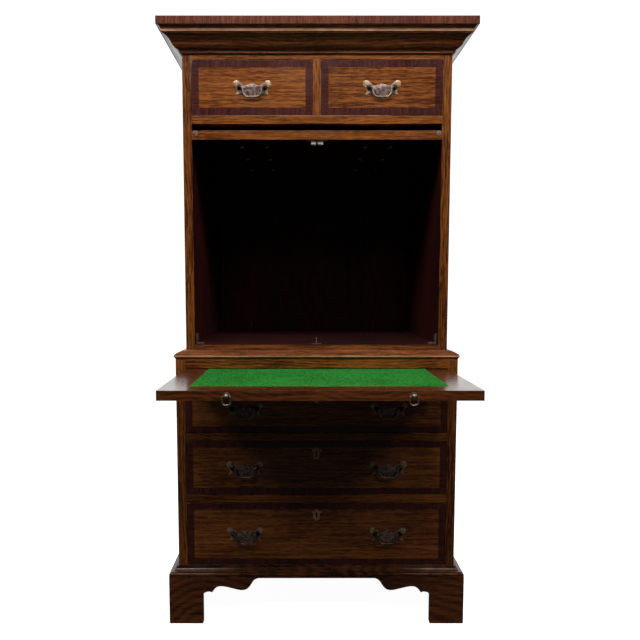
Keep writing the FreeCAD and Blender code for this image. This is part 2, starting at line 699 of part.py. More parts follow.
def pull_post(board_thickness):
    """A turned post with its bolt, which ends behind a board of that thickness."""
    body = DOC.addObject("PartDesign::Body", "pull_post_" + board_thickness)
    profile = new_sketch(body, "XY_Plane", body.Name + "_profile")
    bolt_end = f"{board_thickness} + bolt_end"
    add_outline(profile, [
        ("0", bolt_end), ("bolt_radius", bolt_end), ("bolt_radius", "-plate_thickness"),
        ("post_foot", "-plate_thickness"), ("post_foot", "-2 * plate_thickness"),
        ("post_neck", "-3 * plate_thickness"), ("post_neck", "post_head - post_reach"),
        ("post_radius", "post_radius / 2 - post_reach"), ("post_radius", "-post_radius / 2 - post_reach"),
        ("post_neck", "-post_head - post_reach"), ("0", "-post_radius - post_reach"),
    ])
    add_turning(profile)
    cross = new_sketch(body, "YZ_Plane", body.Name + "_cross")
    add_circle(cross, ("-post_reach", "0"), "pin_radius + pivot_play")
    add_feature("Pocket", cross, "4 * post_radius").Midplane = True
    return body


def nut():
    """The hexagonal nut of a bolt, its near face on the origin, drilled for the bolt."""
    body = DOC.addObject("PartDesign::Body", "pull_nut")
    profile = new_sketch(body, "XZ_Plane", "pull_nut_profile")
    point = "nut_width / sqrt(3)"
    flat = "nut_width / 2"
    add_outline(profile, [
        (point, "0"), (f"{point} / 2", flat), (f"-{point} / 2", flat),
        (f"-{point}", "0"), (f"-{point} / 2", f"-{flat}"), (f"{point} / 2", f"-{flat}"),
    ])
    add_circle(profile, ("0", "0"), "bolt_radius + pivot_play")
    add_feature("Pad", profile, "nut_height").Reversed = True
    return body


def pull_mount(board_thickness):
    """Plate, posts and nuts of one handle, its middle at the origin of the board's face."""
    solids = [pull_plate()]
    for sign in (-1, 1):
        for body, depth in ((POSTS[board_thickness], 0), (NUT, value_of(board_thickness))):
            piece = body.Shape.copy()
            piece.translate(Vector(sign * V.post_spacing / 2, depth, 0))
            solids.append(piece)
    return solids


def rounded_path(points, radii):
    """Straight runs joined by tangent arcs, in the XZ plane."""
    edges = []
    start = Vector(points[0][0], 0, points[0][1])
    for before, corner, after, radius in zip(points, points[1:], points[2:], radii):
        here = Vector(corner[0], 0, corner[1])
        back = (Vector(before[0], 0, before[1]) - here).normalize()
        on = (Vector(after[0], 0, after[1]) - here).normalize()
        half_angle = back.getAngle(on) / 2
        reach = radius / math.tan(half_angle)
        first = here + back * reach
        last = here + on * reach
        bisector = (back + on).normalize()
        middle = here + bisector * (radius / math.sin(half_angle) - radius)
        edges.append(Part.makeLine(start, first))
        edges.append(Part.Arc(first, middle, last).toShape())
        start = last
    edges.append(Part.makeLine(start, Vector(points[-1][0], 0, points[-1][1])))
    return Part.Wire(edges)


def bent_loop(right_points, right_radii, wire, pin, pin_from, pin_to):
    """A loop of round wire with a pin at each end, turning about the X axis."""
    points = right_points + mirrored(right_points)
    radii = right_radii + list(reversed(right_radii))
    path = rounded_path(points, radii)
    ring = Part.Wire(Part.makeCircle(wire, Vector(points[0][0], 0, points[0][1]), Vector(1, 0, 0)))
    loop = path.makePipeShell([ring], True, False)
    low, high = sorted((pin_from, pin_to))
    for start in (low, -high):
        loop = loop.fuse(Part.makeCylinder(pin, high - low, Vector(start, 0, 0), Vector(1, 0, 0)))
    return loop.removeSplitter()


def bail():
    """The swinging bail of a pull handle, hanging from the line through its posts."""
    neck = V.post_spacing / 2 - V.post_radius - V.bail_neck_gap
    points = [(neck, 0), (V.bail_half_width, 0), (V.bail_half_width - V.wire_radius / 2, -V.bail_shoulder),
              (V.bail_foot, -V.bail_drop)]
    radii = [V.bail_bend, V.bail_shoulder / 2, V.bail_shoulder / 2]
    pin_from = neck - V.wire_radius / 2
    return bent_loop(points, radii, V.wire_radius, V.pin_radius, pin_from, V.post_spacing / 2)


def escutcheon():
    """A shield with a keyhole, its middle at the origin."""
    half_width = V.shield_width / 2
    half_height = V.shield_height / 2
    runs = [scaled(shares, half_width, half_height) for shares in
            (SHIELD_TOP_SHARES, SHIELD_EAR_SHARES, SHIELD_SIDE_SHARES, SHIELD_POINT_SHARES)]
    plate = symmetric_face(runs).extrude(Vector(0, -V.shield_thickness, 0))
    deep = 2 * V.shield_thickness
    hole = Part.makeCylinder(V.keyhole_radius, deep, Vector(0, V.shield_thickness / 2, 0), Vector(0, -1, 0))
    slot = Part.makeBox(V.keyhole_slot, deep, V.keyhole_drop,
                        Vector(-V.keyhole_slot / 2, -deep + V.shield_thickness / 2, -V.keyhole_drop))
    return plate.cut(hole.fuse(slot))


# Drawers


def bolt_holes(label, x, z, face, thickness):
    """The two holes for a handle's bolts through a board."""
    return [rod(f"{label}_bolt_hole_{index}", "y", "bolt_radius + pivot_play",
                (f"{x} {sign} post_spacing / 2", f"{face} - overrun", z), f"{thickness} + 2 * overrun")
            for index, sign in enumerate("-+")]


def drawer(name, span, floor, ceiling, face, depth, handles, shield):
    """Front, box, fittings and bails of one drawer in its opening."""
    low, high = span
    middle = f"({floor} + {ceiling}) / 2"
    front = board(name + "_front_board", (f"{low} + front_gap", f"{high} - front_gap"),
                  (face, f"{face} + front_thickness"), (f"{floor} + front_gap", f"{ceiling} - front_gap"))
    holes = []
    for index, x in enumerate(handles):
        holes += bolt_holes(f"{name}_{index}", x, middle, face, "front_thickness")
    shield_height = f"{ceiling} - front_gap - shield_top_gap - shield_height / 2"
    if shield:
        holes.append(rod(name + "_key_hole", "y", "keyhole_radius",
                         (f"({low} + {high}) / 2", f"{face} - overrun", shield_height),
                         "front_thickness + 2 * overrun"))
    publish(name + "_front", cut(name + "_front_drilled", front, holes))
    drawer_box(name, span, floor, ceiling, face, depth)
    height = sum(value_of(text) for text in (floor, ceiling)) / 2
    solids = []
    for x in handles:
        for solid in pull_mount("front_thickness"):
            solid.translate(Vector(value_of(x), value_of(face), height))
            solids.append(solid)
    if shield:
        plate = escutcheon()
        plate.translate(Vector((value_of(low) + value_of(high)) / 2, value_of(face),
                               value_of(ceiling) - V.front_gap - V.shield_top_gap - V.shield_height / 2))
        solids.append(plate)
    publish(name + "_fittings", shaped(name + "_fitting_solids", Part.makeCompound(solids)))
    sides = ("",) if len(handles) == 1 else ("_left", "_right")
    for side, x in zip(sides, handles):
        loop = bail()
        loop.translate(Vector(value_of(x), value_of(face) - V.post_reach, height))
        publish(f"{name}_bail{side}", shaped(f"{name}_bail_loop{side}", loop))


def drawer_box(name, span, floor, ceiling, face, depth):
    """Two sides, a back and a bottom behind the front."""
    low = f"{span[0]} + box_side_gap"
    high = f"{span[1]} - box_side_gap"
    run = (f"{face} + front_thickness", f"{face} + {depth}")
    height = (f"{floor} + running_gap", f"{ceiling} - box_drop")
    inside = (f"{low} + box_board", f"{high} - box_board")
    pieces = [
        board(name + "_left_wall", (low, f"{low} + box_board"), run, height),
        board(name + "_right_wall", (f"{high} - box_board", high), run, height),
        board(name + "_back_wall", inside, (f"{run[1]} - box_board", run[1]), height),
        board(name + "_bottom_panel", inside, (run[0], f"{run[1]} - box_board"),
              (f"{floor} + box_bottom_lift", f"{floor} + box_bottom_lift + box_bottom")),
    ]
    publish(name + "_box", group(name + "_box_group", pieces))


def drawers():
    """Two short drawers above the cavity and three long ones in the lower case."""
    drawer("left_short_drawer", ("-upper_inner", "-short_inner"), "short_floor", "short_opening_top",
           "upper_front", "short_drawer_depth", ("-short_centre",), False)
    drawer("right_short_drawer", ("short_inner", "upper_inner"), "short_floor", "short_opening_top",
           "upper_front", "short_drawer_depth", ("short_centre",), False)
    rows = (("top", "top_floor", "top_opening_top"), ("middle", "middle_floor", "middle_opening_top"),
            ("bottom", "bottom_floor", "bottom_opening_top"))
    for row, floor, ceiling in rows:
        drawer(f"{row}_drawer", ("-lower_inner", "lower_inner"), floor, ceiling, "lower_front",
               "long_drawer_depth", ("-lower_handle", "lower_handle"), True)


# Slide


def slide():
    """The pull-out board with its inset of baize and its two pulls."""
    body = DOC.addObject("PartDesign::Body", "slide_panel")
    panel = new_sketch(body, "XY_Plane", "slide_outline", "slide_bottom")
    add_outline(panel, rectangle(("-slide_half", "slide_half"), ("slide_face", "slide_face + slide_depth")))
    add_feature("Pad", panel, "slide_thickness")
    inset = (("-slide_half + baize_margin", "slide_half - baize_margin"),
             ("slide_face + baize_margin", "slide_face + baize_margin + baize_depth"))
    recess = new_sketch(body, "XY_Plane", "slide_recess", "slide_top")
    add_outline(recess, rectangle(*inset))
    add_feature("Pocket", recess, "baize_thickness")
    tails = new_sketch(body, "XZ_Plane", "slide_tail_holes", "-slide_face")
    for sign in ("-", ""):
        add_circle(tails, (f"{sign}knob_spacing / 2", "slide_middle"), "knob_stem_radius + pivot_play")
    add_feature("Pocket", tails, "knob_tail_depth")
    publish("slide_board", body)
    publish("slide_baize", board("baize_sheet", *inset, ("slide_top - baize_thickness", "slide_top")))
    knobs = []
    for name, x in (("slide_ring_left", -V.knob_spacing / 2), ("slide_ring_right", V.knob_spacing / 2)):
        knob = slide_knob()
        knob.translate(Vector(x, V.slide_face, V.slide_middle))
        knobs.append(knob)
        loop = slide_ring()
        loop.translate(Vector(x, V.slide_face - V.knob_reach, V.slide_middle))
        publish(name, shaped(name + "_loop", loop))
    publish("slide_knobs", shaped("slide_knob_solids", Part.makeCompound(knobs)))


def slide_knob():
    """A turned knob with a rose, a tail let into the board and a cross hole for its ring."""
    ball = V.knob_radius
    stem = V.knob_stem_radius
    neck = -V.knob_reach + math.sqrt(ball ** 2 - stem ** 2)
    edges = [
        Part.makeLine(Vector(0, V.knob_tail_depth, 0), Vector(stem, V.knob_tail_depth, 0)),
        Part.makeLine(Vector(stem, V.knob_tail_depth, 0), Vector(stem, 0, 0)),
        Part.makeLine(Vector(stem, 0, 0), Vector(V.rose_radius, 0, 0)),
        Part.makeLine(Vector(V.rose_radius, 0, 0), Vector(V.rose_radius, -V.rose_thickness, 0)),
        Part.makeLine(Vector(V.rose_radius, -V.rose_thickness, 0), Vector(stem, -V.rose_thickness, 0)),
        Part.makeLine(Vector(stem, -V.rose_thickness, 0), Vector(stem, neck, 0)),
        Part.Arc(Vector(stem, neck, 0), Vector(ball, -V.knob_reach, 0),
                 Vector(0, -V.knob_reach - ball, 0)).toShape(),
        Part.makeLine(Vector(0, -V.knob_reach - ball, 0), Vector(0, V.knob_tail_depth, 0)),
    ]
    knob = Part.Face(Part.Wire(edges)).revolve(Vector(), Vector(0, 1, 0), 360)
    hole = Part.makeCylinder(V.ring_pin + V.pivot_play, 4 * ball, Vector(-2 * ball, -V.knob_reach, 0),
                             Vector(1, 0, 0))
    return knob.cut(hole)


def slide_ring():
    """The ring that hangs from a knob, its pins in the knob's cross hole."""
    neck = V.knob_radius + V.ring_neck_gap
    points = [(neck, 0), (V.ring_half_width, 0), (V.ring_half_width, -V.ring_shoulder),
              (V.ring_foot, -V.ring_drop)]
    radii = [V.ring_bend, V.ring_foot, V.ring_foot]
    return bent_loop(points, radii, V.ring_wire, V.ring_pin, neck + V.ring_wire / 2, V.knob_radius / 2)


# Door, modelled shut round its pivot line and then turned up to lie flat

THIRDS = ("bottom", "middle", "top")


def lay_door(item, turn=-90):
    """Turn a piece from the shut door's frame to where the door lies at rest."""
    item.Placement = Placement(Vector(), Rotation(Vector(1, 0, 0), turn))
    bind(item, "Placement.Base.y", "pivot_rest")
    bind(item, "Placement.Base.z", "pivot_height")
    return item


def door_panel():
    """The door's board and the three false drawer fronts on its face."""
    panel = board("door_board", ("-door_half", "door_half"),
                  ("door_face + false_front_thickness", "door_inside"), ("-door_drop", "pivot_inset"))
    bores = [rod(f"{side}_pivot_bore", "x", "pivot_radius + pivot_play", (start, "0", "0"),
                 "pivot_bite + overrun")
             for side, start in (("left", "-door_half - overrun"), ("right", "door_half - pivot_bite"))]
    board_holes = []
    front_holes = []
    fronts = []
    for row in THIRDS:
        middle = f"{row}_third"
        half = "(false_pitch - false_rail) / 2"
        fronts.append(board(f"{row}_false_front", ("-door_half", "door_half"),
                            ("door_face", "door_face + false_front_thickness"),
                            (f"{middle} - {half}", f"{middle} + {half}")))
        for side, x in (("left", "-short_centre"), ("right", "short_centre")):
            board_holes += bolt_holes(f"door_{side}_{row}", x, middle, "door_face", "door_thickness")
            front_holes += bolt_holes(f"front_{side}_{row}", x, middle, "door_face", "door_thickness")
    publish("door_panel", lay_door(cut("door_board_bored", panel, bores + board_holes)))
    false_fronts = cut("false_fronts_drilled", group("false_fronts_group", fronts), front_holes)
    publish("door_false_fronts", lay_door(false_fronts))


def door_fittings():
    """Handle mounts, escutcheons and the foot edge's two glides on the door, and its six bails."""
    solids = []
    resting = math.degrees(math.asin((V.post_reach - V.plate_thickness - V.wire_radius - V.running_gap)
                                     / V.bail_drop))
    for row in THIRDS:
        height = value_of(f"{row}_third")
        for side, x in (("left", -V.short_centre), ("right", V.short_centre)):
            for solid in pull_mount("door_thickness"):
                solid.translate(Vector(x, V.door_face, height))
                solids.append(solid)
            loop = bail()
            loop.rotate(Vector(), Vector(1, 0, 0), resting)
            loop.translate(Vector(x, V.door_face - V.post_reach, height))
            held = shaped(f"door_loop_{row}_{side}", Part.makeCompound([loop]))
            publish(f"door_bail_{row}_{side}", lay_door(held))
        plate = escutcheon()
        rise = (V.false_pitch - V.false_rail - V.shield_height) / 2 - V.shield_top_gap
        plate.translate(Vector(0, V.door_face, height + rise))
        solids.append(plate)
    for x in (V.glide_inset - V.door_half, V.door_half - V.glide_inset):
        foot = Vector(x, -V.glide_offset, -V.door_drop)
        solids.append(Part.makeCylinder(V.glide_radius, V.glide_thickness, foot, Vector(0, 0, -1)))
    publish("door_fittings", lay_door(shaped("door_fitting_solids", Part.makeCompound(solids))))


def door_shoes():
    """The two shoes that slide in the grooves, each with the pivot pin that carries the door."""
    shoes = []
    for side, sign in (("left", -1), ("right", 1)):
        low, high = "upper_inner + groove_depth - shoe_depth", "upper_inner + groove_depth - running_gap"
        block_x = (low, high) if sign > 0 else (f"-({high})", f"-({low})")
        block = board(f"{side}_shoe_block", block_x,
                      ("pivot_rest - shoe_length / 2", "pivot_rest + shoe_length / 2"),
                      ("pivot_height - shoe_height / 2", "pivot_height + shoe_height / 2"))
        inner, outer = "door_half - pivot_bite + running_gap", "upper_inner + groove_depth - shoe_depth / 2"
        start = inner if sign > 0 else f"-({outer})"
        pin = rod(f"{side}_pivot_pin", "x", "pivot_radius", (start, "pivot_rest", "pivot_height"),
                  f"{outer} - ({inner})")
        shoes.append(fuse(f"{side}_shoe", [block, pin]))
    publish("door_shoes", group("door_shoes_group", shoes))


def roller_catch():
    """The double-roller catch on the door's inside: a plate with four ears, two pins, two rollers."""
    foot = "catch_foot"
    top = "catch_foot + 2 * catch_plate + roller_length + running_gap * 2"
    back = "door_inside + catch_plate"
    plate = ("-catch_width / 2", "catch_width / 2")
    parts = [board("catch_base", plate, ("door_inside", back), (foot, top))]
    for side, sign in (("left", "-"), ("right", "")):
        centre = f"{sign}roller_centre_x"
        ear = (f"{centre} - ear_width / 2", f"{centre} + ear_width / 2")
        ear_run = (back, "roller_centre_y + ear_lap")
        for level, low in (("lower", foot), ("upper", f"{top} - catch_plate")):
            parts.append(board(f"{side}_{level}_ear", ear, ear_run, (low, f"{low} + catch_plate")))
        parts.append(rod(f"{side}_roller_pin", "z", "roller_pin", (centre, "roller_centre_y", foot),
                         f"{top} - {foot}"))
        wheel = DOC.addObject("PartDesign::Body", f"{side}_roller_wheel")
        rim = new_sketch(wheel, "XY_Plane", f"{side}_roller_rim", f"{foot} + catch_plate + running_gap")
        add_circle(rim, (centre, "roller_centre_y"), "roller_radius")
        add_circle(rim, (centre, "roller_centre_y"), "roller_pin + pivot_play")
        add_feature("Pad", rim, "roller_length")
        publish(f"catch_roller_{side}", lay_door(wheel))
    publish("roller_catch", lay_door(fuse("catch_frame", parts)))


def stops_and_strike():
    """Two angled stops behind the shut door and the strike that its catch grips."""
    pieces = []
    low, step, high = (f"cavity_floor_top + {rise}" for rise in ("0", "stop_thickness", "stop_height"))
    for side, sign in (("left", "-"), ("right", "")):
        reaches = ("0", "stop_thickness", "stop_reach")
        wall, leg, toe = (f"{sign}(upper_inner - {reach})" for reach in reaches)
        body = DOC.addObject("PartDesign::Body", f"{side}_stop")
        angle = new_sketch(body, "XZ_Plane", f"{side}_stop_angle", "-(stop_front + stop_width)")
        add_outline(angle, [(wall, low), (wall, high), (leg, high), (leg, step), (toe, step), (toe, low)])
        add_feature("Pad", angle, "stop_width")
        pieces.append(body)
    plate = board("strike_base", ("-strike_width / 2", "strike_width / 2"),
                  ("strike_centre - strike_depth / 2", "strike_centre + strike_depth / 2"),
                  ("cavity_floor_top", "cavity_floor_top + strike_plate"))
    neck = rod("strike_post", "z", "strike_neck", ("0", "strike_centre", "cavity_floor_top"),
               "strike_height - strike_head")
    head = DOC.addObject("Part::Sphere", "strike_ball")
    bind(head, "Radius", "strike_head")
    bind(head, "Placement.Base.y", "strike_centre")
    bind(head, "Placement.Base.z", "cavity_floor_top + strike_height - strike_head")
    pieces.append(fuse("strike", [plate, neck, head]))
    publish("door_stops", group("door_stops_group", pieces))


def check_and_write():
    """Refuse a failed object or a broken shape, then write one file for each sub-part."""
    DOC.recompute()
    failed = [item.Label for item in DOC.Objects if {"Invalid", "Error"} & set(item.State)]
    if failed:
        raise RuntimeError("failed objects: " + ", ".join(failed))
    os.makedirs("parts", exist_ok=True)
    for name, item in NODES.items():
        shape = item.Shape
        if shape.isNull() or not shape.isValid() or not shape.Solids:
            raise RuntimeError("broken shape: " + name)
    for name, item in NODES.items():
        item.Shape.exportStep(f"parts/{name}.step")
    total = sum(item.Shape.Volume for item in NODES.values())
    print(len(NODES), "sub-parts,", round(total / 1e6, 1), "litres of solids")


POSTS = {name: pull_post(name) for name in ("front_thickness", "door_thickness")}
NUT = nut()
DOC.recompute()

upper_case()
lower_case()
back_boards()
drawer_runners()
mouldings()
bracket_plinth()
drawers()
slide()
door_panel()
door_fittings()
door_shoes()
roller_catch()
stops_and_strike()
check_and_write()
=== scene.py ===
"""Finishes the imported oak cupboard: softened joinery, crossbanded fronts, brasses, baize and a plain studio.

The frame carries every board, fitting and joint at its real size. Each class below takes the nodes of one
sub-assembly, softens their arrises, lays the veneers and gives them their finishes.
"""

import logging
import math
from dataclasses import dataclass
from enum import Enum
from typing import Callable, Iterable, Sequence

import bmesh
import bpy
from mathutils import Color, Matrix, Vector


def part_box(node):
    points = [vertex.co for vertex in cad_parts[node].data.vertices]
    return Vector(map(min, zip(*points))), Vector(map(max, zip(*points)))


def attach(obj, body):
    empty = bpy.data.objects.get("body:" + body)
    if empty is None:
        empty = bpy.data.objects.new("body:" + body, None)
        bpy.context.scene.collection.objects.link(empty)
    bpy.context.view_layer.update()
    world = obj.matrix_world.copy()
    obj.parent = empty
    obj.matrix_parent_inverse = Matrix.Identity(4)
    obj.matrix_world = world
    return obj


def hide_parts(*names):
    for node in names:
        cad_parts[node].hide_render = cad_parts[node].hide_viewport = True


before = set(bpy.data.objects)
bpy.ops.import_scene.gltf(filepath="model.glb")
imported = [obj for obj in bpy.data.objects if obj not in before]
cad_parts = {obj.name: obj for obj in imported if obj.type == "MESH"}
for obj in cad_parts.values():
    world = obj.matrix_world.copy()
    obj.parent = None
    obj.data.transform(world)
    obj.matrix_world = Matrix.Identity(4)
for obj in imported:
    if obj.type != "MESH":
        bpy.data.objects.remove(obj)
LOG = logging.getLogger("cupboard")

MM = 0.001
MERGE = 0.02 * MM
SCREEN_STEPS = 255
PLATE_MAP = "plate"

# Angles: what counts as flat, what a plane would round, and what is shaded sharp.
FLAT_ANGLE = math.radians(0.5)
ARRIS_ANGLE = math.radians(38)
FACET_ANGLE = math.radians(21)

# Shares of a normal along an axis: a face that looks that way, and one that leans that way.
FACES = 0.9
LEANS = 0.5

Colour = tuple[int, int, int]
Pair = tuple[float, float]
Triple = tuple[float, float, float]
Face = bmesh.types.BMFace
Material = bpy.types.Material
Socket = bpy.types.NodeSocket
Sockets = bpy.types.bpy_prop_collection
Chooser = Callable[[Vector, Vector], int]


def linear(colour: Colour) -> tuple[float, ...]:
    """Turn a colour as seen on a screen, in steps of 0 to 255, into linear light with full alpha."""
    return (*Color([step / SCREEN_STEPS for step in colour]).from_srgb_to_scene_linear(), 1.0)


def on_axis(axis: int, length: float) -> Vector:
    """Make a vector that lies along one axis."""
    return Vector([length if index == axis else 0.0 for index in range(3)])


class Grain(Enum):
    """The way that the grain of a board runs, with the turn that lays it along X."""

    X = (0.0, 0.0, 0.0)
    Y = (0.0, 0.0, -math.pi / 2)
    Z = (0.0, math.pi / 2, 0.0)


class Slot(Enum):
    """The material slots of the record."""

    OAK = "oak"
    MOULDING = "oak_moulding"
    BANDED = "banded_front"
    CARCASS = "carcass_wood"
    BRASS = "brass"
    STEEL = "steel"
    BAIZE = "baize"


@dataclass(frozen=True)
class Speckle:
    """A noise: cells in a metre along the grain and across it, octaves, and the values that give 0 and 1."""

    along: float
    across: float
    detail: float
    low: float = 0.0
    high: float = 0.0


class Nodes:
    """Adds nodes to one node tree and joins them."""

    def __init__(self, tree: bpy.types.NodeTree) -> None:
        """Keep the tree."""
        self.tree = tree

    def feed(self, node: bpy.types.Node, values: dict) -> None:
        """Set or link some inputs of a node.

        Args:
            node: The node.
            values: Numbers, colours or links, by input name or number.
        """
        for name, value in values.items():
            if isinstance(value, Socket):
                self.tree.links.new(value, node.inputs[name])
            else:
                node.inputs[name].default_value = value

    def add(self, kind: str, values: dict | None = None, **settings: object) -> bpy.types.Node:
        """Add a node.

        Args:
            kind: Blender's name for the node type.
            values: Numbers, colours or links for its inputs, by input name or number.
            settings: Attributes of the node itself.

        Returns:
            The new node.
        """
        node = self.tree.nodes.new(kind)
        for name, setting in settings.items():
            setattr(node, name, setting)
        self.feed(node, values or {})
        return node

    def out(self, kind: str, values: dict | None = None, **settings: object) -> Socket:
        """Add a node and return its first output."""
        return self.add(kind, values, **settings).outputs[0]

    def math(self, operation: str, *values: object) -> Socket:
        """Add a math node and return its result."""
        return self.out("ShaderNodeMath", dict(enumerate(values)), operation=operation)

    def plus(self, value: object, share: object, base: object) -> Socket:
        """Add a share of a value to a base."""
        return self.math("MULTIPLY_ADD", value, share, base)

    def length(self, one: object, other: object) -> Socket:
        """Find the length of a slope from its two legs."""
        return self.math("SQRT", self.math("ADD", self.math("POWER", one, 2.0), self.math("POWER", other, 2.0)))

    def vector(self, operation: str, values: dict) -> Socket:
        """Add a vector math node and return its result."""
        return self.out("ShaderNodeVectorMath", values, operation=operation)

    def box(self, *sides: object) -> Socket:
        """Make a vector of three numbers."""
        return self.out("ShaderNodeCombineXYZ", dict(enumerate(sides)))

    def parts(self, vector: Socket) -> Sockets:
        """Take a vector apart into its three numbers."""
        return self.add("ShaderNodeSeparateXYZ", {0: vector}).outputs

    def mix(self, share: object, low: object, high: object) -> Socket:
        """Mix two colours, given as links or as seen on a screen."""
        ends = [value if isinstance(value, Socket) else linear(value) for value in (low, high)]
        return self.add("ShaderNodeMix", {0: share, 6: ends[0], 7: ends[1]}, data_type="RGBA").outputs[2]

    def span(self, value: object, low: float, high: float, start: float = 0.0, end: float = 1.0) -> Socket:
        """Map the numbers from low to high smoothly to those from start to end."""
        names = {"Value": value, "From Min": low, "From Max": high, "To Min": start, "To Max": end}
        return self.out("ShaderNodeMapRange", names, interpolation_type="SMOOTHSTEP")

    def speckle(self, place: Socket, kind: Speckle, output: int = 0) -> Socket:
        """Lay a noise on a place.

        Args:
            place: Link with the place, grain along X.
            kind: The noise.
            output: 0 for its number, 1 for its colour.

        Returns:
            What lies about one half, or from 0 to 1 where the noise has bounds.
        """
        stretched = self.vector("MULTIPLY", {0: place, 1: (kind.along, kind.across, kind.across)})
        node = self.add("ShaderNodeTexNoise", {"Vector": stretched, "Scale": 1.0, "Detail": kind.detail})
        return self.span(node.outputs[0], kind.low, kind.high) if kind.high else node.outputs[output]

    def bump(self, height: Socket, strength: float, depth: float) -> Socket:
        """Turn a height into a normal."""
        return self.out("ShaderNodeBump", {"Strength": strength, "Distance": depth, "Height": height})

    def effect(self, tree: bpy.types.NodeTree, place: Socket, sizes: dict[str, float]) -> Sockets:
        """Place a shared effect with its own sizes."""
        return self.add("ShaderNodeGroup", {"Place": place, **sizes}, node_tree=tree).outputs


def new_tree(name: str, kind: str, inputs: dict[str, str], outputs: dict[str, str]) -> tuple[Nodes, Sockets]:
    """Make a node tree with named sockets.

    Args:
        name: The tree's name.
        kind: Blender's name for its kind.
        inputs: Name and socket type of each input.
        outputs: Name and socket type of each output.

    Returns:
        The tree's node helper and its inputs as links.
    """
    nodes = Nodes(bpy.data.node_groups.new(name, kind))
    for side, sockets in (("INPUT", inputs), ("OUTPUT", outputs)):
        for title, socket in sockets.items():
            nodes.tree.interface.new_socket(title, in_out=side, socket_type="NodeSocket" + socket)
    return nodes, nodes.add("NodeGroupInput").outputs


class SharedEffects:
    """Shader groups that several finishes use, each built once."""

    DRIFT = Speckle(1.6, 5.0, 2.0)
    SLOPE = Speckle(3.0, 0.9, 1.0)
    STREAK = Speckle(8.0, 190.0, 3.0)
    FLECK = Speckle(44.0, 460.0, 2.0)
    TONE = Speckle(2.2, 7.0, 2.0, 0.28, 0.72)
    PORES = Speckle(0.05, 1.0, 1.0, 0.56, 0.7)
    SMUDGE = Speckle(11.0, 11.0, 3.0, 0.35, 0.68)
    HAIR = Speckle(25.0, 900.0, 1.0, 0.66, 0.72)
    HAIR_PATCH = Speckle(19.0, 19.0, 1.0, 0.5, 0.62)
    SETTLED = Speckle(70.0, 70.0, 4.0, 0.3, 0.7)
    FLECK_SHARE = 0.5
    FIBRE = (0.39, 0.61)
    EARLY_WOOD = (0.75, 0.15, 0.25, 1.0)
    UPWARD = (0.6, 0.98)
    HALF = (0.5, 0.5, 0.5)

    def __init__(self) -> None:
        """Build the groups."""
        self.figure = self.wood_figure()
        self.handling = self.surface_handling()

    @staticmethod
    def open(name: str, sizes: Sequence[str], outputs: Sequence[str]) -> tuple[Nodes, Sockets]:
        """Start a group that takes a place and some sizes, and puts out masks."""
        inputs = {"Place": "Vector", **dict.fromkeys(sizes, "Float")}
        return new_tree(name, "ShaderNodeTree", inputs, dict.fromkeys(outputs, "Float"))

    def wood_figure(self) -> bpy.types.NodeTree:
        """Growth rings, fine streaks and open pores of a board whose grain runs along X.

        Returns:
            The group, with Figure, Tone and Pores outputs from 0 to 1.
        """
        sizes = ("Ring spacing", "Wander", "Heart", "Rings", "Pore size", "Slope")
        nodes, source = self.open("wood figure", sizes, ("Figure", "Tone", "Pores"))
        place = source["Place"]
        centred = nodes.vector("SUBTRACT", {0: nodes.speckle(place, self.DRIFT, 1), 1: self.HALF})
        shift = nodes.vector("SCALE", {0: centred, "Scale": source["Wander"]})
        bent = nodes.vector("ADD", {0: place, 1: shift})
        _, across, depth = nodes.parts(bent)
        reach = nodes.length(across, nodes.math("ADD", depth, source["Heart"]))
        sloped = nodes.plus(nodes.speckle(place, self.SLOPE), source["Slope"], reach)
        turns = nodes.math("DIVIDE", sloped, source["Ring spacing"])
        rings = nodes.span(nodes.math("SINE", nodes.math("MULTIPLY", turns, 2 * math.pi)), -1.0, 1.0)
        fleck = nodes.math("MULTIPLY", nodes.speckle(bent, self.FLECK), self.FLECK_SHARE)
        streak = nodes.plus(nodes.speckle(bent, self.STREAK), 1.0 - self.FLECK_SHARE, fleck)
        figure = nodes.out("ShaderNodeMix", {0: source["Rings"], 2: nodes.span(streak, *self.FIBRE), 3: rings})
        pore_scale = nodes.math("DIVIDE", 1.0, source["Pore size"])
        pits = nodes.speckle(nodes.vector("SCALE", {0: bent, "Scale": pore_scale}), self.PORES)
        pores = nodes.math("MULTIPLY", pits, nodes.span(rings, *self.EARLY_WOOD))
        nodes.add("NodeGroupOutput", {"Figure": figure, "Tone": nodes.speckle(place, self.TONE), "Pores": pores})
        return nodes.tree

    def surface_handling(self) -> bpy.types.NodeTree:
        """Smudges of handling, fine scratches and dust on what faces up.

        Returns:
            The group, with Smudge, Scratch and Dust outputs from 0 to 1.
        """
        nodes, source = self.open("handling", ("Scale",), ("Smudge", "Scratch", "Dust"))
        place = nodes.vector("SCALE", {0: source["Place"], "Scale": source["Scale"]})
        scratch = nodes.math("MULTIPLY", nodes.speckle(place, self.HAIR), nodes.speckle(place, self.HAIR_PATCH))
        up = nodes.parts(nodes.add("ShaderNodeNewGeometry").outputs["Normal"])[2]
        dust = nodes.math("MULTIPLY", nodes.span(up, *self.UPWARD), nodes.speckle(place, self.SETTLED))
        smudge = nodes.speckle(place, self.SMUDGE)
        nodes.add("NodeGroupOutput", {"Smudge": smudge, "Scratch": scratch, "Dust": dust})
        return nodes.tree


EFFECTS = SharedEffects()


def emptied(block: Material | bpy.types.World) -> Nodes:
    """Clear the nodes of a material or a world.

    Args:
        block: The material or world.

    Returns:
        Its node helper.
    """
    block.use_nodes = True
    block.node_tree.nodes.clear()
    return Nodes(block.node_tree)


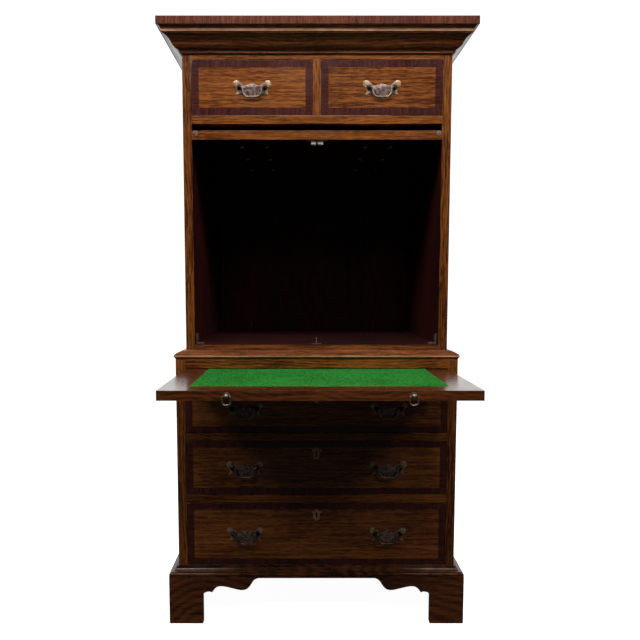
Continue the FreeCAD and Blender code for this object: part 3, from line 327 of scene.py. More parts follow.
@dataclass(frozen=True)
class Finish:
    """A finish: its name and what it feeds to a plain Principled shader."""

    # How far each seed moves the pattern along the grain, and the swing and pace of its moves across it.
    STEP = 1.37
    SWING = ((0.11, 2.1), (0.03, 1.7))

    name: str

    def inputs(self, nodes: Nodes, place: Socket) -> dict[str, object]:
        """Give the shader's inputs.

        Args:
            nodes: The material's node helper.
            place: Object coordinates, grain along X.

        Returns:
            Numbers and links by the input's name.
        """
        raise NotImplementedError

    def material(self) -> Material:
        """Make or find the finish's one material."""
        return self.made(self.name, Grain.X, 0.0)

    def made(self, name: str, grain: Grain, seed: float) -> Material:
        """Make or find a material.

        Args:
            name: Its name.
            grain: The way that the grain runs.
            seed: Number that picks the stretch of pattern.

        Returns:
            The material.
        """
        known = bpy.data.materials.get(name)
        if known:
            return known
        material = bpy.data.materials.new(name)
        nodes = emptied(material)
        (sideways, pace), (inwards, other_pace) = self.SWING
        move = (seed * self.STEP, math.sin(seed * pace) * sideways, math.cos(seed * other_pace) * inwards)
        place = nodes.out("ShaderNodeMapping", {"Vector": nodes.add("ShaderNodeTexCoord").outputs["Object"],
                                                "Rotation": grain.value, "Location": move})
        shader = nodes.add("ShaderNodeBsdfPrincipled", self.inputs(nodes, place))
        nodes.add("ShaderNodeOutputMaterial", {"Surface": shader.outputs[0]})
        return material


@dataclass(frozen=True)
class WoodFinish(Finish):
    """One varnished or plain wood, from its colours down to its pores."""

    dark: Colour
    light: Colour
    pore_colour: Colour
    ring_spacing: float = 7.5 * MM
    wander: float = 14 * MM
    heart: float = 90 * MM
    rings: float = 0.3
    slope: float = 60 * MM
    pore_size: float = 0.6 * MM
    pore_share: float = 0.55
    pore_roughness: float = 0.15
    tone_share: float = 0.5
    roughness: float = 0.22
    smudge: float = 0.06
    coat: float = 0.15
    coat_roughness: float = 0.16
    specular: float = 0.35
    relief: float = 0.12
    relief_depth: float = 0.4 * MM
    dust: float = 0.06
    dust_colour: Colour = (150, 138, 120)

    def along(self, grain: Grain, seed: float = 0.0) -> Material:
        """Make or find the material of this wood with its grain one way and its figure picked by a seed."""
        return self.made(f"{self.name} along {grain.name.lower()} {seed:g}", grain, seed)

    def inputs(self, nodes: Nodes, place: Socket) -> dict[str, object]:
        """Give the shader's inputs.

        Args:
            nodes: The material's node helper.
            place: Object coordinates, grain along X.

        Returns:
            Numbers and links by the input's name.
        """
        sizes = {"Ring spacing": self.ring_spacing, "Wander": self.wander, "Heart": self.heart, "Rings": self.rings,
                 "Pore size": self.pore_size, "Slope": self.slope}
        figure = nodes.effect(EFFECTS.figure, place, sizes)
        worn = nodes.effect(EFFECTS.handling, place, {"Scale": 1.0})
        pores = figure["Pores"]
        toned = nodes.plus(nodes.math("SUBTRACT", figure["Tone"], 0.5), self.tone_share, figure["Figure"])
        colour = nodes.mix(toned, self.dark, self.light)
        pored = nodes.mix(nodes.math("MULTIPLY", pores, self.pore_share), colour, self.pore_colour)
        dusty = nodes.mix(nodes.math("MULTIPLY", worn["Dust"], self.dust), pored, self.dust_colour)
        smudged = nodes.plus(worn["Smudge"], self.smudge, self.roughness)
        height = nodes.plus(pores, -1.0, figure["Figure"])
        return {"Base Color": dusty, "Roughness": nodes.plus(pores, self.pore_roughness, smudged),
                "Normal": nodes.bump(height, self.relief, self.relief_depth),
                "Specular IOR Level": self.specular, "Coat Weight": self.coat, "Coat Roughness": self.coat_roughness}


@dataclass(frozen=True)
class MetalFinish(Finish):
    """One metal, bright where it is rubbed and dark where it is not."""

    BLOTCH = Speckle(160.0, 160.0, 4.0)
    SKIN = Speckle(900.0, 900.0, 2.0)

    bright: Colour
    tarnish: Colour
    tarnish_range: Pair
    roughness: float
    metallic: float = 1.0
    wear_scale: float = 6.0
    rubbing: float = 0.5
    tarnish_roughness: float = 0.22
    smudge: float = 0.08
    relief: float = 0.08
    relief_depth: float = 0.1 * MM

    def inputs(self, nodes: Nodes, place: Socket) -> dict[str, object]:
        """Give the shader's inputs.

        Args:
            nodes: The material's node helper.
            place: Object coordinates.

        Returns:
            Numbers and links by the input's name.
        """
        worn = nodes.effect(EFFECTS.handling, place, {"Scale": self.wear_scale})
        blotch = nodes.span(nodes.speckle(place, self.BLOTCH), *self.tarnish_range)
        colour = nodes.mix(blotch, self.bright, self.tarnish)
        wear_and_highlight = nodes.mix(nodes.math("MULTIPLY", worn["Scratch"], self.rubbing), colour, self.bright)
        dull = nodes.plus(blotch, self.tarnish_roughness, self.roughness)
        return {"Base Color": wear_and_highlight, "Roughness": nodes.plus(worn["Smudge"], self.smudge, dull),
                "Normal": nodes.bump(nodes.speckle(place, self.SKIN), self.relief, self.relief_depth),
                "Metallic": self.metallic}


@dataclass(frozen=True)
class PlateFinish(Finish):
    """A handle's back plate: pale on its wings, grey in the middle, and painted shade, near black, round the posts.

    It reads the plate's own UV map, in metres from the plate's middle.
    """

    BLOTCH = Speckle(130.0, 130.0, 4.0)
    WEAR = Speckle(240.0, 240.0, 2.0, 0.42, 0.6)
    STAIN_RANGE = (0.35, 0.65)

    name: str = "brass back plate"
    wing: Colour = (196, 164, 118)
    worn_wing: Colour = (140, 112, 82)
    middle: Colour = (150, 124, 114)
    stain: Colour = (84, 64, 56)
    # Painted shade: the near-black colour laid round each post.
    post_shade: Colour = (20, 14, 11)
    wing_range: Pair = (33 * MM, 40 * MM)
    post: Pair = (34 * MM, 4.5 * MM)
    post_shade_reach: float = 9.5 * MM
    uneven: float = 8 * MM
    roughness: float = 0.44
    wing_polish: float = 0.12
    metallic: float = 0.36
    post_shade_dullness: float = 0.3
    relief: float = 0.15
    relief_depth: float = 0.3 * MM

    def inputs(self, nodes: Nodes, place: Socket) -> dict[str, object]:
        """Give the shader's inputs.

        Args:
            nodes: The material's node helper.
            place: Object coordinates.

        Returns:
            Numbers and links by the input's name.
        """
        x, rise, _ = nodes.parts(nodes.out("ShaderNodeUVMap", uv_map=PLATE_MAP))
        across = nodes.math("ABSOLUTE", x)
        blotch = nodes.speckle(place, self.BLOTCH)
        uneven = nodes.plus(blotch, self.uneven, -self.uneven / 2)
        wing = nodes.span(nodes.math("ADD", across, uneven), *self.wing_range)
        post_across, post_rise = self.post
        reach = nodes.length(nodes.math("SUBTRACT", across, post_across), nodes.math("SUBTRACT", rise, post_rise))
        # Painted shade: near black and less metallic round each post, where the post's shade falls on the plate.
        post_shade = nodes.span(nodes.math("ADD", reach, uneven), self.post_shade_reach, self.post_shade_reach / 2)
        in_cavity_shade = nodes.mix(nodes.span(blotch, *self.STAIN_RANGE), self.middle, self.stain)
        dulled = nodes.mix(nodes.speckle(place, self.WEAR), self.wing, self.worn_wing)
        return {"Base Color": nodes.mix(post_shade, nodes.mix(wing, in_cavity_shade, dulled), self.post_shade),
                "Roughness": nodes.plus(wing, -self.wing_polish, self.roughness),
                "Normal": nodes.bump(blotch, self.relief, self.relief_depth),
                "Metallic": nodes.plus(post_shade, -self.post_shade_dullness, self.metallic)}


@dataclass(frozen=True)
class BaizeFinish(Finish):
    """Felted green wool."""

    NAP = Speckle(700.0, 700.0, 5.0)
    TUFTS = Speckle(190.0, 75.0, 2.0)
    BRUSHED = Speckle(9.0, 9.0, 3.0, 0.3, 0.7)
    LINT = Speckle(230.0, 90.0, 1.0, 0.68, 0.75)
    FIBRE_RANGE = (0.3, 0.62)

    name: str = "green baize"
    deep: Colour = (6, 80, 16)
    pale: Colour = (46, 142, 50)
    lint: Colour = (150, 180, 145)
    tuft_share: float = 0.8
    brushed_share: float = 0.3
    lint_share: float = 0.4
    relief: float = 0.5
    relief_depth: float = 0.5 * MM
    roughness: float = 0.95
    specular: float = 0.05
    sheen: float = 0.03
    sheen_roughness: float = 0.5

    def inputs(self, nodes: Nodes, place: Socket) -> dict[str, object]:
        """Give the shader's inputs.

        Args:
            nodes: The material's node helper.
            place: Object coordinates.

        Returns:
            Numbers and links by the input's name.
        """
        nap = nodes.speckle(place, self.NAP)
        loose = nodes.math("MULTIPLY", nap, 1.0 - self.tuft_share)
        fibres = nodes.span(nodes.plus(nodes.speckle(place, self.TUFTS), self.tuft_share, loose), *self.FIBRE_RANGE)
        fibres = nodes.math("MULTIPLY", fibres, 1.0 - self.brushed_share)
        share = nodes.plus(nodes.speckle(place, self.BRUSHED), self.brushed_share, fibres)
        linted = nodes.math("MULTIPLY", nodes.speckle(place, self.LINT), self.lint_share)
        return {"Base Color": nodes.mix(linted, nodes.mix(share, self.deep, self.pale), self.lint),
                "Normal": nodes.bump(nap, self.relief, self.relief_depth), "Roughness": self.roughness,
                "Specular IOR Level": self.specular, "Sheen Weight": self.sheen,
                "Sheen Roughness": self.sheen_roughness}


OAK = WoodFinish("varnished oak", (58, 25, 8), (148, 84, 31), (30, 13, 5), pore_share=0.7)
FIELD = WoodFinish("oak drawer field", (80, 36, 11), (152, 88, 35), (58, 27, 11), ring_spacing=9 * MM,
                   wander=7 * MM, rings=0.1, slope=30 * MM)
BANDING = WoodFinish("mahogany crossbanding", (50, 18, 15), (80, 36, 29), (34, 12, 10), ring_spacing=20 * MM,
                     rings=0.1, pore_share=0.25, tone_share=0.3, roughness=0.24)
FASCIA = WoodFinish("mahogany fascia", (66, 25, 16), (114, 58, 38), (48, 18, 13), ring_spacing=24 * MM, rings=0.1,
                    pore_share=0.25, roughness=0.24)
MOULDED = WoodFinish("oak moulding", (72, 32, 13), (148, 82, 37), (34, 15, 7))
PLINTH = WoodFinish("oak plinth", (42, 18, 8), (112, 60, 26), (26, 11, 6), ring_spacing=15 * MM, wander=30 * MM,
                    heart=24 * MM, rings=0.4, slope=260 * MM)
LEAF = WoodFinish("oak slide", (46, 20, 6), (104, 53, 18), (26, 11, 5), ring_spacing=11 * MM, heart=20 * MM,
                  rings=0.32, slope=180 * MM, roughness=0.17, specular=0.5, dust=0.02)
# Lighter wood for worn arrises: partly real wear, partly a painted highlight along edges, the cornice's bead and the
# waist's nose.
WORN_HIGHLIT_ARRIS = WoodFinish("rubbed arris", (150, 98, 62), (208, 158, 116), (110, 70, 44), rings=0.2, roughness=0.26,
                    coat=0.6)
# Painted shade: near-black colours for the inside of the cavity, where shade falls, in place of the wood's own
# colour.
CAVITY_SHADE = WoodFinish("stained inside", (18, 4, 3), (58, 12, 7), (8, 3, 2), roughness=0.5, coat=0.0, dust=0.0)
CAVITY_WALL_SHADE = WoodFinish("stained cavity wall", (30, 5, 4), (74, 13, 8), (15, 4, 3), roughness=0.5, coat=0.0, dust=0.0)
CARCASS = WoodFinish("plain carcass wood", (112, 76, 46), (164, 120, 78), (84, 54, 32), rings=0.35, roughness=0.6,
                     coat=0.0, dust=0.3)
PLATE = PlateFinish()
WIRE = MetalFinish("bail brass", (168, 154, 134), (98, 84, 72), (0.4, 0.75), 0.36)
DULL_BRASS = MetalFinish("dull brass", (128, 108, 84), (48, 38, 30), (0.25, 0.6), 0.36)
IRON = MetalFinish("iron nail", (74, 66, 60), (38, 30, 26), (0.3, 0.6), 0.5)
STEEL = MetalFinish("bright steel", (226, 208, 190), (150, 130, 114), (0.45, 0.85), 0.3, metallic=0.55)
GREY_STEEL = MetalFinish("grey steel", (128, 112, 98), (76, 64, 56), (0.35, 0.7), 0.42, metallic=0.6)
SHIELD = MetalFinish("escutcheon brass", (208, 166, 126), (156, 118, 88), (0.35, 0.65), 0.42, metallic=0.1)
BAIZE = BaizeFinish()


def shown_object(name: str, data: bpy.types.ID) -> bpy.types.Object:
    """Make an object and bring it into the scene.

    Args:
        name: Its name.
        data: Its mesh, lamp or camera.

    Returns:
        The object.
    """
    thing = bpy.data.objects.new(name, data)
    bpy.context.scene.collection.objects.link(thing)
    return thing


def crease(data: bpy.types.Mesh, angle: float) -> None:
    """Shade a mesh smooth, but sharp across its corners and across the planes where two boards meet.

    Args:
        data: The mesh.
        angle: Least angle of a corner.
    """
    mesh = bmesh.new()
    mesh.from_mesh(data)
    for face in mesh.faces:
        face.smooth = True
    for edge in mesh.edges:
        edge.smooth = len(edge.link_faces) == 2 and edge.calc_face_angle(0.0) < angle
    mesh.to_mesh(data)
    mesh.free()


def settle(piece: bpy.types.Object) -> None:
    """Turn a piece's modifiers into plain mesh.

    Args:
        piece: The piece.
    """
    graph = bpy.context.evaluated_depsgraph_get()
    data = bpy.data.meshes.new_from_object(piece.evaluated_get(graph), depsgraph=graph)
    data.name = piece.name
    piece.modifiers.clear()
    piece.data = data


def mount(piece: bpy.types.Object, body: str, slot: Slot, *nodes: str) -> bpy.types.Object:
    """Set a piece on its body and in the place of its nodes.

    Args:
        piece: The piece.
        body: The body that it rides on.
        slot: The record's material slot; not used.
        nodes: The nodes that it stands for.

    Returns:
        The piece.
    """
    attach(piece, body)
    if nodes:
        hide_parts(*nodes)
    LOG.info("%s rides on %s", piece.name, body)
    return piece


class Bench:
    """Takes a node's solids from the frame, works them and sets the finished piece on its body."""

    def __init__(self, node: str, body: str = "case") -> None:
        """Copy and merge the node's mesh.

        Args:
            node: The node that the piece stands for.
            body: The body that it rides on.
        """
        self.node, self.body = node, body
        self.mesh = bmesh.new()
        self.mesh.from_mesh(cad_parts[node].data)
        bmesh.ops.remove_doubles(self.mesh, verts=self.mesh.verts[:], dist=MERGE)
        bmesh.ops.dissolve_limit(self.mesh, angle_limit=FLAT_ANGLE, verts=self.mesh.verts[:],
                                 edges=self.mesh.edges[:])

    def solids(self) -> list[tuple[list[Face], Vector, Vector]]:
        """Split the mesh into its separate solids.

        Returns:
            The faces, the lowest and the highest corner of each.
        """
        left, found = set(self.mesh.faces), []
        for first in self.mesh.faces:
            if first not in left:
                continue
            left.remove(first)
            faces = [first]
            for face in faces:
                for near in (near for edge in face.edges for near in edge.link_faces):
                    if near in left:
                        left.remove(near)
                        faces.append(near)
            places = [vert.co for face in faces for vert in face.verts]
            low, high = (Vector([pick(axis) for axis in zip(*places)]) for pick in (min, max))
            found.append((faces, low, high))
        return found

    def paint(self, chooser: Chooser) -> None:
        """Give each face its material.

        Args:
            chooser: Gives the material's number from a face's middle and normal.
        """
        for face in self.mesh.faces:
            face.material_index = chooser(face.calc_center_median(), face.normal)

    def paint_solids(self, chooser: Chooser) -> None:
        """Give each solid its material.

        Args:
            chooser: Gives the material's number from a solid's lowest and highest corner.
        """
        for faces, low, high in self.solids():
            for face in faces:
                face.material_index = chooser(low, high)

    def saw(self, place: Vector, normal: Vector, faces: Iterable[Face]) -> None:
        """Cut some faces along a plane without taking anything away."""
        cut = list(dict.fromkeys(item for face in faces for item in (*face.verts, *face.edges, face)))
        bmesh.ops.bisect_plane(self.mesh, geom=cut, plane_co=place, plane_no=normal, dist=MERGE)

    def map_plates(self, thin: float) -> None:
        """Lay a map in metres from each plate's middle, X across and the drawer's rise upwards.

        Args:
            thin: What is thinner than this is a plate.
        """
        layer = self.mesh.loops.layers.uv.new(PLATE_MAP)
        for faces, low, high in self.solids():
            if min(high - low) > thin:
                continue
            rise = 2 if high.z - low.z > thin else 1
            for loop in (loop for face in faces for loop in face.loops):
                place = loop.vert.co - (low + high) / 2
                loop[layer].uv = (place.x, place[rise])

    def mark_arrises(self, shortest: float) -> None:
        """Weigh the edges that a plane or a duster would round.

        Args:
            shortest: Length below which an edge stays as it is.
        """
        weights = self.mesh.edges.layers.float.new("bevel_weight_edge")
        sound = {vert for vert in self.mesh.verts if all(len(edge.link_faces) == 2 for edge in vert.link_edges)}
        for edge in self.mesh.edges:
            whole = edge.verts[0] in sound and edge.verts[1] in sound
            if whole and edge.is_convex and edge.calc_length() > shortest and edge.calc_face_angle(0.0) > ARRIS_ANGLE:
                edge[weights] = 1.0

    def finish(self, slot: Slot, *materials: Material, arris: float = 0.0, shortest: float = 0.0,
               wear_and_highlight: bool = False, facet: float = FACET_ANGLE) -> bpy.types.Object:
        """Round the arrises and set the piece in its place.

        Args:
            slot: The record's material slot.
            materials: The materials, in the order of their numbers.
            arris: Width of the rounding, or 0 for none.
            shortest: Length below which an edge stays as it is.
            wear_and_highlight: Whether the rounding takes lighter worn wood, which also paints the highlight along
                the edge.
            facet: Least angle across which the piece is shaded sharp.

        Returns:
            The finished piece.
        """
        self.mark_arrises(shortest)
        data = bpy.data.meshes.new("finished_" + self.node)
        self.mesh.to_mesh(data)
        self.mesh.free()
        for material in (*materials, *([WORN_HIGHLIT_ARRIS.along(Grain.X)] if wear_and_highlight else [])):
            data.materials.append(material)
        piece = shown_object(data.name, data)
        if arris:
            bevel = piece.modifiers.new("arris", "BEVEL")
            bevel.width = arris
            bevel.segments = 2
            bevel.limit_method = "WEIGHT"
            bevel.loop_slide = False
            bevel.material = len(materials) if wear_and_highlight else -1
            settle(piece)
        low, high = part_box(self.node)
        for vert in piece.data.vertices:
            vert.co = [min(max(value, least), most) for value, least, most in zip(vert.co, low, high)]
        crease(piece.data, facet)
        return mount(piece, self.body, slot, self.node)


class PointPattern:
    """A Geometry Nodes tree that sets one small shape on each point of a piece, facing its own way."""

    FACING = "facing"

    def __init__(self, name: str, sizes: dict[str, float]) -> None:
        """Start the tree with its named inputs.

        Args:
            name: The tree's name.
            sizes: Name and usual value in metres of each size.
        """
        self.sizes = sizes
        inputs = {"Points": "Geometry", **dict.fromkeys(sizes, "Float"), "Seed": "Int", "Finish": "Material"}
        self.nodes, self.source = new_tree(name, "GeometryNodeTree", inputs, {"Pieces": "Geometry"})

    def moved(self, shape: Socket, height: Socket) -> Socket:
        """Move a shape up by a height."""
        lift = self.nodes.box(0.0, 0.0, height)
        return self.nodes.out("GeometryNodeTransform", {"Geometry": shape, "Translation": lift})

    def close(self, shape: Socket, spin: float) -> None:
        """Set the shape on the points, realize it and give it its finish.

        Args:
            shape: The shape, facing along Z.
            spin: Most that a shape is turned about its own axis, picked by the seed.
        """
        nodes, source = self.nodes, self.source
        facing = nodes.out("GeometryNodeInputNamedAttribute", {"Name": self.FACING}, data_type="FLOAT_VECTOR")
        turn = nodes.out("FunctionNodeAlignRotationToVector", {"Vector": facing}, axis="Z")
        chance = nodes.add("FunctionNodeRandomValue", {2: 0.0, 3: spin, "Seed": source["Seed"]}, data_type="FLOAT")
        about = nodes.out("FunctionNodeEulerToRotation", {0: nodes.box(0.0, 0.0, chance.outputs[1])})
        whole = nodes.out("FunctionNodeRotateRotation", {0: turn, 1: about}, rotation_space="LOCAL")
        rows = nodes.out("GeometryNodeInstanceOnPoints", {"Points": source["Points"], "Instance": shape,
                                                          "Rotation": whole})
        solid = nodes.out("GeometryNodeRealizeInstances", {0: rows})
        done = nodes.out("GeometryNodeSetMaterial", {"Geometry": solid, "Material": source["Finish"]})
        nodes.add("NodeGroupOutput", {"Pieces": done})

    def lay(self, name: str, body: str, slot: Slot, places: Sequence[tuple[Vector, Vector]], finish: Material,
            seed: int, sizes: dict[str, float] | None = None) -> None:
        """Make one piece of the pattern and set it on its body.

        Args:
            name: The piece's name.
            body: The body that it rides on.
            slot: The record's material slot.
            places: Place and facing of each point.
            finish: The material.
            seed: Seed of what varies.
            sizes: Sizes that differ from the usual ones.
        """
        data = bpy.data.meshes.new(name)
        data.from_pydata([place for place, _ in places], [], [])
        facings = data.attributes.new(self.FACING, "FLOAT_VECTOR", "POINT")
        for point, (_, facing) in zip(facings.data, places):
            point.vector = facing
        piece = shown_object(name, data)
        modifier = piece.modifiers.new("pattern", "NODES")
        modifier.node_group = self.nodes.tree
        values = {**self.sizes, **(sizes or {}), "Seed": seed, "Finish": finish}
        for socket in self.nodes.tree.interface.items_tree:
            if socket.in_out == "INPUT" and socket.name in values:
                modifier[socket.identifier] = values[socket.name]
        settle(piece)
        mount(piece, body, slot)


class SlottedScrews(PointPattern):
    """Slotted screw heads."""

    SIDES = 20
    SLOT_REACH = 2.5

    def __init__(self) -> None:
        """Build the head: a low disc with a slot across it."""
        super().__init__("slotted screws", {"Radius": 2.6 * MM, "Rise": 0.8 * MM, "Slot": 0.7 * MM})
        nodes, source = self.nodes, self.source
        depth = nodes.math("MULTIPLY", source["Rise"], 2.0)
        head = nodes.out("GeometryNodeMeshCylinder", {"Vertices": self.SIDES, "Radius": source["Radius"],
                                                      "Depth": depth})
        reach = nodes.math("MULTIPLY", source["Radius"], self.SLOT_REACH)
        bar = nodes.out("GeometryNodeMeshCube", {"Size": nodes.box(reach, source["Slot"], source["Rise"])})
        cut = {"Mesh 1": head, "Mesh 2": self.moved(bar, source["Rise"])}
        self.close(nodes.out("GeometryNodeMeshBoolean", cut, operation="DIFFERENCE"), math.pi)


class CutNails(PointPattern):
    """Heads of the nails that hold the back boards."""

    SIDES = 9
    TOP_SHARE = 0.75

    def __init__(self) -> None:
        """Build the head: a low uneven cone frustum."""
        super().__init__("cut nails", {"Radius": 3.2 * MM, "Rise": 0.25 * MM})
        nodes, source = self.nodes, self.source
        top = nodes.math("MULTIPLY", source["Radius"], self.TOP_SHARE)
        depth = nodes.math("MULTIPLY", source["Rise"], 2.0)
        head = nodes.out("GeometryNodeMeshCone", {"Vertices": self.SIDES, "Radius Top": top,
                                                  "Radius Bottom": source["Radius"], "Depth": depth})
        self.close(self.moved(head, nodes.math("MULTIPLY", depth, -1.0)), 2 * math.pi)


class Dovetails(PointPattern):
    """The tails of a drawer's sides, lapped into its front."""

    def __init__(self) -> None:
        """Build one tail: a thin upright block that widens towards the way that it faces."""
        super().__init__("dovetails", {"Thickness": 3 * MM, "Width": 20 * MM, "Depth": 12 * MM, "Flare": 0.16})
        nodes, source = self.nodes, self.source
        size = nodes.box(source["Thickness"], source["Width"], source["Depth"])
        block = nodes.out("GeometryNodeMeshCube", {"Size": size})
        x, y, z = nodes.parts(nodes.out("GeometryNodeInputPosition"))
        share = nodes.math("MULTIPLY", nodes.math("DIVIDE", z, source["Depth"]), 2.0)
        place = nodes.box(x, nodes.math("MULTIPLY", y, nodes.plus(share, source["Flare"], 1.0)), z)
        self.close(nodes.out("GeometryNodeSetPosition", {"Geometry": block, "Position": place}), 0.0)


@dataclass
class UpperCase:
    """Sides, rails, floor and top round the cavity."""

    arris: float = 0.9 * MM

    def build(self) -> None:
        """Finish every board of the upper case."""
        for seed, side in enumerate(("left", "right")):
            self.side(f"upper_{side}_side", seed)
        # The top rail takes the lighter drawer-field oak as a painted highlight, for the sheen it shows under the
        # cornice.
        boards = (("upper_top_rail", Slot.OAK, FIELD, 3), ("short_drawer_rail", Slot.OAK, OAK, 4),
                  ("top_board", Slot.CARCASS, MOULDED, 5))
        for node, slot, wood, seed in boards:
            Bench(node).finish(slot, wood.along(Grain.X, seed), arris=self.arris)
        muntin, floor = Bench("drawer_muntin"), Bench("cavity_floor")
        post_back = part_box("short_drawer_rail")[1].y + MM
        muntin.paint(lambda middle, normal: 0 if middle.y < post_back else 1)
        muntin.finish(Slot.OAK, OAK.along(Grain.Z, 6), CARCASS.along(Grain.Y, 1), arris=self.arris)
        # The cavity floor's top and hidden faces take the painted cavity shade.
        floor.paint(lambda middle, normal: 0 if normal.y < -LEANS else 1)
        floor.finish(Slot.OAK, MOULDED.along(Grain.X, 7), CAVITY_SHADE.along(Grain.X, 2), arris=self.arris)

    def side(self, node: str, seed: int) -> None:
        """Finish one side: oak outside and on its front edge, painted shade, near black, inside the cavity.

        Args:
            node: The side's node.
            seed: Number that picks its figure.
        """
        low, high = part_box(node)
        inner_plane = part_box("cavity_floor")[1].x + MM

        def in_cavity_shade(middle: Vector, normal: Vector) -> int:
            """Tell whether a face takes the painted shade, as in the cavity and its grooves.

            Args:
                middle: The face's middle.
                normal: Its normal.

            Returns:
                1 for a face in painted shade, otherwise 0.
            """
            inwards = normal.x * middle.x < 0 or abs(middle.x) > inner_plane and abs(normal.x) < LEANS
            front = normal.y < -FACES and middle.y < low.y + MM
            back = normal.y > FACES and middle.y > high.y - MM
            outside = abs(middle.x) > max(-low.x, high.x) - MM
            return 1 if inwards and not (front or back or outside) else 0

        bench = Bench(node)
        bench.paint(in_cavity_shade)
        bench.finish(Slot.OAK, OAK.along(Grain.Z, seed), CAVITY_WALL_SHADE.along(Grain.Z, seed), arris=self.arris)


@dataclass
class LowerCase:
    """Sides, rails, boards and runners of the lower case."""

    arris: float = 0.9 * MM

    def build(self) -> None:
        """Finish every board of the lower case."""
        for seed, side in enumerate(("left", "right")):
            bench = Bench(f"lower_{side}_side")
            bench.paint(lambda middle, normal: 1 if normal.x * middle.x < 0 and abs(normal.x) > FACES else 0)
            bench.finish(Slot.OAK, OAK.along(Grain.Z, 5 + 4 * seed), CARCASS.along(Grain.Z, 2 + seed),
                         arris=self.arris)
        rails = Bench("lower_rails")
        levels = sorted(low.z for _, low, _ in rails.solids())
        rails.paint_solids(lambda low, high: levels.index(low.z))
        rails.finish(Slot.OAK, *(OAK.along(Grain.X, 11 + level) for level in range(len(levels))), arris=self.arris)
        plain = (("lower_top_board", Grain.X), ("bottom_board", Grain.X), ("drawer_runners", Grain.Y))
        for seed, (node, grain) in enumerate(plain):
            Bench(node).finish(Slot.CARCASS, CARCASS.along(grain, 4 + seed), arris=self.arris)


@dataclass
class BackBoards:
    """The vertical boards behind the cavity, tongued together, and the panel behind the lower case."""

    arris: float = 1.4 * MM
    planed: float = 0.3 * MM
    floor_shade_drop: float = 200 * MM
    tongue_reach: float = 5 * MM
    tongue_thickness: float = 3 * MM
    nail_from_edge: float = 22 * MM
    nail_from_end: float = 14 * MM
    nail_pitch: float = 110 * MM
    nail_rise: float = 0.15 * MM
    nail_sink: float = 0.05 * MM
    figure_step: float = 2.7

    def build(self) -> None:
        """Finish the boards, plain outside and in painted shade inside the cavity, and nail them."""
        bench = Bench("back_boards")
        floor_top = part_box("cavity_floor")[1].z
        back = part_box("back_boards")[1].y
        boards = sorted(((low, high) for _, low, high in bench.solids()), key=lambda ends: (ends[0].z, ends[0].x))
        for vert in bench.mesh.verts:
            vert.co.y = min(vert.co.y, back - self.planed)
        upper = [ends for ends in boards if ends[1].z > floor_top]
        for (low, high), (next_low, _) in zip(upper, upper[1:]):
            self.tongue(bench.mesh, low, high, next_low.x)
        edges = [high.x + MM for _, high in upper]

        def board(middle: Vector, normal: Vector) -> int:
            """Number a face: 0 for the painted shade inside the cavity, 1 for the lower panel, then one for each
            board.
            """
            inside = normal.y < -LEANS and middle.z > floor_top - self.floor_shade_drop
            return 0 if inside else 1 if middle.z < floor_top else 2 + sum(middle.x > edge for edge in edges)

        bench.paint(board)
        plain = (CARCASS.along(Grain.Z, 9 + step * self.figure_step) for step in range(len(upper) + 1))
        bench.finish(Slot.CARCASS, CAVITY_SHADE.along(Grain.Z, 5), *plain, arris=self.arris)
        places = self.nail_places(boards, back - self.nail_sink)
        CutNails().lay("back_nails", "case", Slot.CARCASS, places, IRON.material(), 7, {"Rise": self.nail_rise})

    def tongue(self, mesh: bmesh.types.BMesh, low: Vector, high: Vector, next_edge: float) -> None:
        """Add a tongue that closes the gap between two boards.

        Args:
            mesh: The boards' mesh.
            low: Lowest corner of the first board.
            high: Its highest corner.
            next_edge: Where the next board starts along X.
        """
        half = self.tongue_thickness / 2
        depth = (low.y + high.y) / 2
        least = Vector((high.x - self.tongue_reach, depth - half, low.z + MM))
        most = Vector((next_edge + self.tongue_reach, depth + half, high.z - MM))
        for vert in bmesh.ops.create_cube(mesh, size=1.0)["verts"]:
            vert.co = (least + most) / 2 + vert.co * (most - least)

    def nail_places(self, boards: Sequence[tuple[Vector, Vector]], level: float) -> list[tuple[Vector, Vector]]:
        """Find the nails: a row across each board at each rail behind it and near its ends.

        Args:
            boards: Lowest and highest corner of each board.
            level: The depth that the heads reach.

        Returns:
            Place and facing of each nail.
        """
        boxes = [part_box(node) for node in ("cavity_floor", "top_board", "bottom_board")]
        rails = [(low.z + high.z) / 2 for low, high in boxes]
        places = []
        for low, high in boards:
            heights = [rail for rail in rails if low.z < rail < high.z]
            heights += [low.z + self.nail_from_end, high.z - self.nail_from_end]
            width = high.x - low.x
            steps = max(2, round(width / self.nail_pitch))
            for height in heights:
                for step in range(steps):
                    across = low.x + self.nail_from_edge + (width - 2 * self.nail_from_edge) * step / (steps - 1)
                    places.append((Vector((across, level, height)), on_axis(1, 1.0)))
        return places


